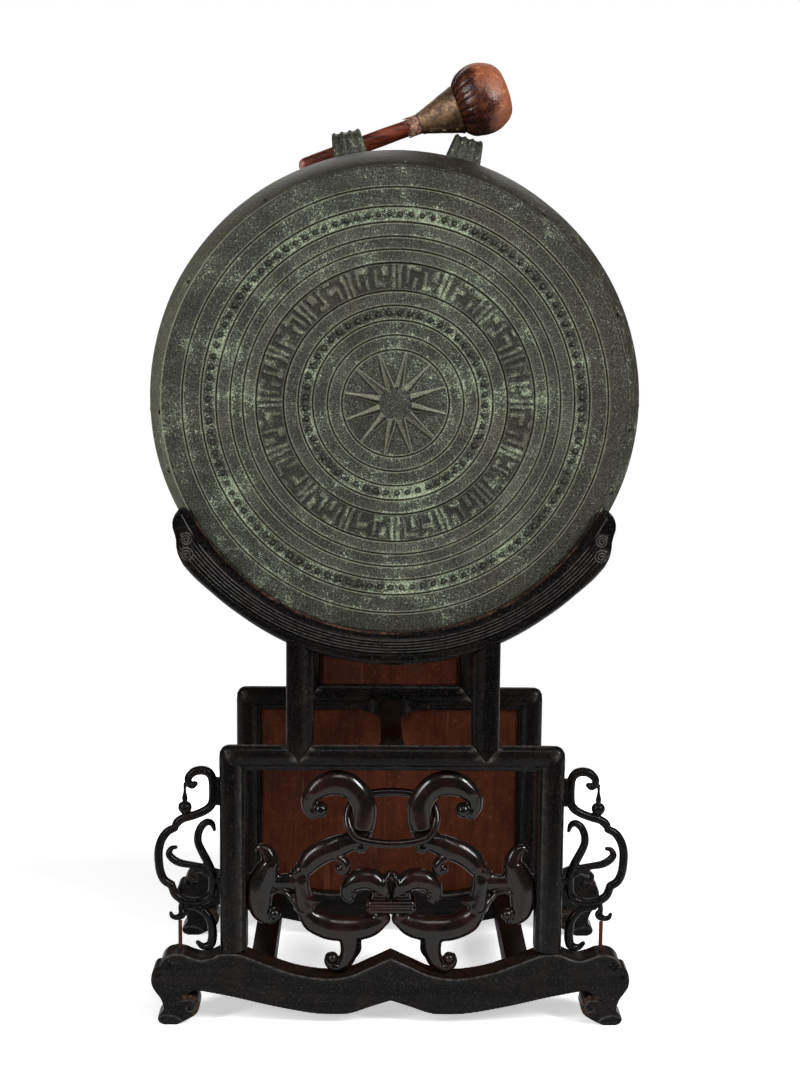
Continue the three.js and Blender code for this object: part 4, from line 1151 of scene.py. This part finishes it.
def paint_cradle(arc, coils):
    """Pale lines of dust and painted highlight on the reeds and coils, and bare wood along the lip."""
    places = stand_points(arc)
    x, y, z = places.T
    r = np.hypot(x, z - GONG_Z)
    angle = np.degrees(np.arctan2(np.abs(x), GONG_Z - z))
    fan = reed_fan(angle)
    phase = REEDS * (r - REED_FIRST - 2.6 * fan) / (REED_SPAN + 2.6 * fan)
    # A pale line of dust and painted highlight along one edge of each reed.
    reed = 0.4 * hill(phase % 1 - 0.3, 0.13) * (phase > 0) * (phase < REEDS) * (y < 4) * (angle < 53)
    chips = value_noise(x, z, 0.05, 4.0) + value_noise(x, z, 0.3, 2.0)
    paint(arc, chalk=np.maximum(reed, 0.7 * closeness(places, coils, 0.7)),
          wear=np.clip(0.35 + chips, 0, 1) * (r < 226.8) * (y < 5))


def painted_member(name, shape, inner, edges):
    """A post or an upright, with painted highlights at its corner and along its edges: (share, distance,
    width).
    """
    obj = creased(made(name, *shape), 38)
    places = stand_points(obj)
    off = np.abs(places[:, 0]) - inner
    # Painted highlight lines along the edges and facets, on the front only.
    dust = sum(share * hill(off - distance, width) for share, distance, width in edges)
    paint(obj, chalk=(places[:, 1] < 9) * (dust + 0.9 * closeness(places, CORNER_SHINE, 3.0)))
    return obj


def build_frames():
    members = [("base_rail", base_rail(), WOOD_X), ("top_rail", top_rail(), WOOD_X)]
    # A faint painted highlight down each member's inner facet.
    faint = (0.06, 7.5, 2.2)
    for side, word in SIDES:
        members.append((f"post_{word}", painted_member(f"post_{word}", post(side), POST_INNER,
                                                       (faint, (0.3, 5.0, 0.5))), WOOD_Z))
        members.append((f"upright_{word}", painted_member(f"upright_{word}", upright(side), UPRIGHT_INNER,
                                                          ((0.8, 26.4, 0.6), faint)), WOOD_Z))
    sill = prism([(-79.3, 284.5), (79.3, 284.5), (79.3, 293.9), (-79.3, 293.9)], FRAME_PITCH + 8.6,
                 FRAME_PITCH + FRAME_DEPTH - 0.6)
    ebony(bevelled(made("panel_sill", *sill), 0.8), WOOD_X)
    for prefix, shift in FRAMES:
        arc = cradle(shift)
        ebony(copied(arc, f"{prefix}_cradle_carved", shift), WOOD_X, f"{prefix}_cradle")
        bpy.data.objects.remove(arc)
    for part, obj, material in members:
        for prefix, shift in FRAMES:
            ebony(copied(obj, f"{prefix}_{part}_carved", shift), material, f"{prefix}_{part}")
        bpy.data.objects.remove(obj)


build_frames()


# ---------------------------------------------------------------- stretchers, panels and pegs
def bottom_stretcher(side, word):
    corners = [(side * 133 + dx, z) for dx, z in ((-12.3, 26), (12.3, 26), (12.3, 50), (-12.3, 50))]
    obj = made(f"bottom_stretcher_{word}_planed", *prism(corners, FRAME_DEPTH + 0.1, FRAME_PITCH - 0.1))
    return bevelled(obj, 1.4)


def top_stretcher():
    """A rail between the frames that flares and bows where it meets them."""
    flare = spline([[11, 44], [12.4, 24], [15, 11], [20, 5], [29, 2.4], [44, 0.3]], 8)
    right = np.array([(x, FRAME_DEPTH + d) for x, d in flare][::-1] + [(x, FRAME_PITCH - d) for x, d in flare])
    spread = np.clip((right[:, 0] - 12) / 26, 0, 1)
    rings = []
    for inset, z in ((1.6, 262.5), (0.5, 263.0), (0, 264.2), (0, 282.0), (0.5, 283.4), (1.8, 284.0)):
        half = right - [inset, 0]
        level = z + (271.0 + (z - 273) * 0.22 - z) * spread
        plan = np.vstack([half, half[::-1] * [-1, 1]])
        rings.append(np.insert(plan, 2, np.concatenate([level, level[::-1]]), axis=1))
    return creased(made("top_stretcher_flared", *loft(rings)), 50)


for side, word in SIDES:
    finished(bottom_stretcher(side, word), "stand", "red_wood", STRETCHER, f"bottom_stretcher_{word}")
ebony(top_stretcher(), WOOD_Y, "top_stretcher")
for node, material in (("lower_panel", PANEL), ("upper_panel", PANEL), ("wing_peg_left", PEG),
                       ("wing_peg_right", PEG)):
    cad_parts[node].material_slots[0].material = material


# ---------------------------------------------------------------- carved openwork and wings
# Limbs are lines of [x, z, half width], on the left half.
OPENWORK_Y = 17.0
OPENWORK_STROKES = {
    "hook": [[-31, 186, 8.4], [-29, 204, 11.5], [-27.8, 216, 12.4], [-28.6, 229, 12.7], [-34.4, 240.2, 12.5],
             [-43.2, 248, 12.8], [-54, 251, 13], [-65.6, 249.5, 12.4], [-75.7, 244.3, 10.7],
             [-82.5, 235.6, 8.8], [-83.7, 226.4, 7.4], [-80, 219.3, 6.6]],
    "diagonal": [[-34, 190.5, 8.2], [-45, 187.6, 10.8], [-58, 183, 12], [-70.4, 178, 12.2],
                 [-80.4, 171.2, 12], [-86.2, 164.2, 10.4]],
    "flank": [[-90.2, 155, 8], [-90.8, 148, 9], [-90.4, 139, 9.6], [-88.6, 130, 9.8], [-86, 121, 9.2]],
    "beak": [[-85, 130, 6.4], [-80, 127.6, 4.6], [-75, 126.4, 2.4], [-72.4, 126.6, 1.2]],
    "belly": [[-83.8, 112, 10.6], [-78.4, 106.2, 12.4], [-71, 102.2, 13], [-61, 98.8, 13.4],
              [-47, 97.5, 13.4], [-33, 98.3, 13], [-20, 101.8, 12], [-8.3, 108.6, 8]],
    "knuckle": [[-95.4, 157, 7], [-90.4, 160, 8], [-84, 160.4, 5.6], [-80.6, 159.4, 2.4]],
    "heel": [[-92.6, 120.6, 6.6], [-88.4, 117.4, 9]],
    "stem": [[-11, 108, 8], [-11, 124, 10.6], [-11, 134, 8.6]],
    "scroll": [[-5.4, 133, 6], [-10.4, 142, 9.4], [-18, 148.6, 11], [-27, 150.8, 11.2], [-36, 148.4, 10.2],
               [-42.6, 142.8, 8.4], [-45.2, 136, 7], [-42.6, 130.6, 5.6]],
    "bloom": [[-6, 146, 3.4], [-4.4, 153, 3], [-2.4, 158, 1.6]],
    "tendril": [[-66, 176, 4.2], [-55.5, 173.6, 4.4], [-47.8, 168.6, 5], [-45.9, 162, 5], [-48.6, 158, 4.2]],
    "tail": [[-43, 92, 10.8], [-41.7, 80.5, 10], [-43, 70.6, 8.8], [-46.5, 62, 7.4], [-52.5, 56.8, 5.6],
             [-59.3, 57, 4.8], [-63.4, 62.5, 4.6], [-62.6, 68, 4.4]],
    "tail_fold": [[-33.6, 84, 3.8], [-33.2, 76, 3.4], [-35.8, 70, 2.8]],
    "leaf": [[-138.8, 181.4, 1.8], [-133, 182.8, 4.6], [-126.4, 178.6, 7.2], [-123, 169.2, 9.4],
             [-125.9, 159.2, 12.4], [-130.4, 148.2, 14], [-133.4, 138.2, 14.2], [-133.8, 126.2, 13.2],
             [-131.6, 115.4, 10.4], [-126.6, 109, 7.2], [-121, 108.2, 5.4]],
    "web": [[-126, 147.6, 9.4], [-112, 147.2, 8.2], [-99, 147.6, 10.4]],
    "brace": [[-129.6, 121, 2.4], [-127.4, 130, 2.8], [-119, 138, 3.2], [-107.5, 137, 3.2],
              [-100, 129.4, 3.2], [-92.5, 116, 3.4]],
}
OPENWORK_SHARE = 0.96
OPENWORK_DEPTH = {"brace": 2.4, "bloom": 2.4, "tendril": 1.5, "beak": 1.5, "flank": 1.12, "knuckle": 1.12,
                  "heel": 1.12, "web": 0.66}
OPENWORK_BALLS = [[-71.6, 223.4, 8], [-52.8, 161, 4.9], [-40.4, 137.2, 5.4], [-59.4, 67.2, 6],
                  [-117.8, 114.2, 6.4]]
RING_Z, RING_RADIUS, RING_STRAIGHT, RING_TILT = 214.3, 26.4, 18.6, math.radians(27.3)
RING_HALF_WIDTH, RING_HALF_DEPTH = 4.2, 3.9
WING_Y = 15.0
WING_STROKES = {
    "crook": [[-197.4, 249.6, 2.6], [-200.6, 246.9, 2.8], [-204.4, 250, 3.4], [-204.2, 256.4, 4],
              [-198.4, 262, 4.4], [-190, 263.4, 4.6], [-183, 260, 4.5], [-180.2, 252, 4.4],
              [-180.2, 233, 4.4], [-183.4, 225.4, 4.4], [-191, 220.2, 4.3], [-201, 216.3, 4.3],
              [-210.5, 213.4, 4.3], [-216.4, 208.8, 4.4], [-218.6, 203, 3]],
    "bow": [[-218.5, 203.6, 3.8], [-226, 199.6, 4.2], [-232, 191, 4.3], [-235, 180, 4.4], [-235, 168, 4.4],
            [-233.4, 157, 4.4], [-229.4, 148.6, 4.3], [-222.4, 143.8, 4.2]],
    "loop": [[-222.4, 143.4, 4.2], [-219, 134.4, 4.3], [-212.4, 129, 4.4], [-203, 126.6, 4.4],
             [-194, 126.8, 4.4], [-186.6, 129.6, 4.4], [-181.8, 136, 4.4], [-180.6, 146, 4.4],
             [-181.4, 156, 4.4], [-185.6, 167.4, 4.3], [-191.4, 179, 4.2], [-195.2, 188.4, 4],
             [-195, 197.4, 4], [-191.6, 205.4, 3.9], [-186, 209.8, 3.6], [-181, 208.2, 3],
             [-178.8, 202, 1.9]],
    "tendril": [[-184, 161.4, 3.4], [-193, 163.2, 3.4], [-203, 165, 3.5], [-213, 166.8, 3.8],
                [-220, 170.4, 3.9], [-224.6, 176.2, 3.6], [-222.4, 182, 2.6], [-217.8, 183.4, 2]],
    "eye": [[-186.4, 155, 2.4], [-191.4, 159.4, 2.4], [-199, 158.8, 2.4], [-203.8, 153.8, 2.4],
            [-201.6, 148.6, 2.2], [-197, 149.6, 2]],
    "anchor": [[-211.8, 127, 2.8], [-213.4, 119.6, 2.6], [-211.6, 113.2, 4.2], [-216.6, 109.6, 3],
               [-221.8, 110.4, 2.4], [-223.4, 114, 1.9]],
    "leg": [[-207, 121, 2.6], [-198, 120, 3], [-189.6, 116, 3.8], [-183.6, 108, 4.4], [-181.6, 98, 4.7],
            [-181.4, 88.6, 4.8], [-183.6, 80.6, 4.6], [-191, 78.8, 3.4], [-196.4, 83, 2.3]],
}
# The turned drop that hangs in each wing: [radius, z].
DROP = [[0.6, 216.6], [3.6, 219], [6.3, 222.4], [6.9, 225.6], [5.6, 229.2], [2.6, 231.2], [3, 234.4],
        [2.2, 238.6], [1.5, 242.4], [1.6, 250.4]]
DROP_X = 208.2


def openwork_bounds(x, z):
    """How near and how far the limbs may reach, so that they clear the link ring and the tie band."""
    if z > 203:
        return 5.4, 24.6
    if z > 176:
        share = min(max((x + 64) / 12, 0), 1)
        return 6.0 + share * (3.4 - 1.2 * max(0, (186 - z) / 10)), 27.0 - share
    if x > -27 and 114 < z < 133:
        return 9.0, 25.0
    return 6.0, 27.0


def ball(x, y, z, size, depth):
    bm = bmesh.new()
    bmesh.ops.create_icosphere(bm, subdivisions=3, radius=1)
    points = np.array([v.co[:] for v in bm.verts]) * [size, depth, size] + [x, y, z]
    faces = [[v.index for v in f.verts] for f in bm.faces]
    bm.free()
    return points, faces


def openwork_side():
    solid = Solid()
    for name, points in OPENWORK_STROKES.items():
        solid.add(*stroke(points, 16.0, OPENWORK_DEPTH.get(name, OPENWORK_SHARE), bounds=openwork_bounds))
    for x, z, size in OPENWORK_BALLS:
        solid.add(*ball(x, 15.0, z, size, min(size * 1.2, 9.0)))
    obj = remeshed(solid.made("openwork_left_carved"), 0.95, 2)
    points = scene_points(obj)
    points[:, 0] = np.minimum(points[:, 0], -0.15 / 1000)  # flush where it meets its other half
    set_points(obj, points)
    return obj


def wing_side():
    solid = Solid()
    for points in WING_STROKES.values():
        solid.add(*stroke(points, WING_Y, 1.15, deepest=5.0, sides=18))
    for low, high in ((228, 256), (147, 153)):
        lug = [(-182, low), (-170.4, low), (-170.4, high), (-182, high)]
        solid.add(*prism(lug, WING_Y - 3.8, WING_Y + 3.8))
    body, faces = lathe(spline(DROP, 4), 28)
    solid.add(columns(body[:, 0] - DROP_X, body[:, 2] + WING_Y, body[:, 1]), faces)
    solid.add(*ball(-196.6, WING_Y, 150.4, 3.0, 4.4))
    solid.add(*ball(-198.2, WING_Y, 249.4, 3.1, 4.0))
    return remeshed(solid.made("wing_left_carved"), 0.75, 3)


def link_ring():
    """The long ring through both hooks, tilted so that its lower bar is in front."""
    angles = circle(120)
    x, z = RING_RADIUS * np.cos(angles), RING_RADIUS * np.sin(angles)
    x = x + RING_STRAIGHT * np.clip(x / (RING_RADIUS * 0.6), -1, 1)
    way = columns(np.gradient(x), np.gradient(z))
    way[0], way[-1] = way[1], way[-2]
    across, off = RING_HALF_WIDTH * np.cos(circle(20)), RING_HALF_DEPTH * np.sin(circle(20))
    rings = []
    for px, pz, (wx, wz) in zip(x, z, unit_rows(way)):
        level = pz - wx * across
        rings.append(columns(px + wz * across,
                             OPENWORK_Y + (off * math.cos(RING_TILT) + level * math.sin(RING_TILT)),
                             RING_Z + (level * math.cos(RING_TILT) - off * math.sin(RING_TILT))))
    return made("link_ring_turned", np.concatenate(rings), grid_faces(120, 20, closed=True))


def tie_band():
    """A band of two rods round the stems."""
    half, front, back, corner = 23.6, 6.0, 28.0, 4.0
    path = []
    for cx, cy, first in ((half - corner, front + corner, -90), (half - corner, back - corner, 0),
                          (-half + corner, back - corner, 90), (-half + corner, front + corner, 180)):
        for turn in map(math.radians, np.linspace(first, first + 90, 7)):
            nx, ny = math.cos(turn), math.sin(turn)
            path.append((cx + corner * nx, cy + corner * ny, nx, ny))
    section = [(-1.1, 117.9), (0.3, 117.8), (1.2, 119.0), (1.45, 120.8), (1.1, 122.4), (-0.2, 123.4),
               (1.1, 124.4), (1.45, 126.2), (1.2, 128.0), (0.3, 129.1), (-1.1, 129.0)]
    rings = [[[x + nx * off, y + ny * off, z] for off, z in section] for x, y, nx, ny in path]
    return creased(made("tie_band_moulded", rings, grid_faces(len(path), len(section), closed=True)), 45)


for thing, side_maker, material in (("openwork", openwork_side, CARVED), ("wing", wing_side, WOOD_Z)):
    half = side_maker()
    other = copied(half, f"{thing}_right_carved", mirror=True)
    ebony(half, material, f"{thing}_left")
    ebony(other, material, f"{thing}_right")
ebony(link_ring(), CARVED, "link_ring")
ebony(tie_band(), CARVED, "tie_band")


# ---------------------------------------------------------------- studio
AIR_LIGHT = 0.06  # the room's own light; the camera sees it as white paper
FLOOR_LIGHT = 0.1  # the share of the floor's glow that lights the part
FLOOR_X, FLOOR_FRONT, FLOOR_BACK = 1.7, -0.6, 0.8
# Name, place, size and power.
LAMPS = [("softbox_left", (-2.0, -1.6, 1.5), (0.35, 1.5), 46),
         ("softbox_right", (1.9, -1.5, 1.9), (0.4, 1.3), 74),
         ("softbox_top", (0.2, -1.9, 2.8), (1.2, 0.5), 12),
         ("softbox_back", (0.0, 2.2, 2.0), (2.0, 1.0), 14)]
LAMPS_AIM = Vector((0, 0, 0.45))


def floor():
    """White paper that looks brighter outward, so that the picture's edges are white."""
    paper = Nodes("studio_paper")
    paper.done(rgb(248, 248, 248), 0.9, Emission_Color=(1, 1, 1, 1), Specular_IOR_Level=0.0)
    seen = paper.node("ShaderNodeLightPath").outputs["Is Camera Ray"]
    glow = paper.times(paper.attribute("glow"), paper.band(seen, 0.0, 1.0, FLOOR_LIGHT, 1.0))
    paper.link(glow, paper.shader.inputs["Emission Strength"])
    x, y = (axis.ravel() for axis in np.meshgrid(np.linspace(-FLOOR_X, FLOOR_X, 41),
                                                 np.linspace(FLOOR_FRONT, FLOOR_BACK, 29)))
    mesh = bpy.data.meshes.new("studio_floor")
    faces = [(j * 41 + i, j * 41 + i + 1, j * 41 + i + 42, j * 41 + i + 41)
             for j in range(28) for i in range(40)]
    mesh.from_pydata(columns(x, y, 0.0).tolist(), [], faces)
    mesh.materials.append(paper.material)
    obj = in_scene("studio_floor", mesh)
    outward = np.clip((np.maximum(np.abs(x) / FLOOR_X, np.abs(y - 0.1) / 0.7) - 0.35) / 0.55, 0, 1)
    paint(obj, glow=0.52 + 0.8 * outward**2 * (3 - 2 * outward))
    return obj


def air():
    """A dim even light that looks white."""
    world = bpy.data.worlds.new("studio_air")
    world.use_nodes = True
    tree = world.node_tree
    light = tree.nodes["Background"]
    light.inputs["Color"].default_value = (1, 1, 1, 1)
    ray = tree.nodes.new("ShaderNodeLightPath")
    seen = tree.nodes.new("ShaderNodeMapRange")
    seen.inputs["To Min"].default_value = AIR_LIGHT
    seen.inputs["To Max"].default_value = 1.0
    tree.links.new(ray.outputs["Is Camera Ray"], seen.inputs["Value"])
    tree.links.new(seen.outputs[0], light.inputs["Strength"])
    return world


def lamp(name, spot, size, power):
    light = bpy.data.lights.new(name, "AREA")
    light.shape = "RECTANGLE"
    light.size, light.size_y = size
    light.energy = power
    obj = in_scene(name, light)
    obj.location = spot
    obj.rotation_euler = (LAMPS_AIM - Vector(spot)).to_track_quat("-Z", "Y").to_euler()


def camera():
    """The photo's viewpoint, fitted to the stand's corners."""
    cam = bpy.data.cameras.new("camera")
    cam.sensor_fit = "VERTICAL"
    cam.sensor_height = 36.0
    cam.sensor_width = 36.0
    cam.lens = 36.0 * 1864.6 / 1067  # the focal length and the height of the picture, both in its pixels
    cam.clip_start, cam.clip_end = 0.05, 50
    obj = in_scene("camera", cam)
    obj.location = (-0.0263, -1.9405, 0.7819)
    pitch, yaw, roll = map(math.radians, (8.677, 1.006, 0.518))
    forward = Vector((math.sin(yaw) * math.cos(pitch), math.cos(yaw) * math.cos(pitch), -math.sin(pitch)))
    right = Vector((math.cos(yaw), -math.sin(yaw), 0))
    up = right.cross(forward)
    turned_right = math.cos(roll) * right + math.sin(roll) * up
    turned_up = -math.sin(roll) * right + math.cos(roll) * up
    obj.rotation_euler = Matrix((turned_right, turned_up, -forward)).transposed().to_euler()
    return obj


scene = bpy.context.scene
scene.view_settings.view_transform = "Standard"
floor()
scene.world = air()
for settings in LAMPS:
    lamp(*settings)
scene.camera = camera()
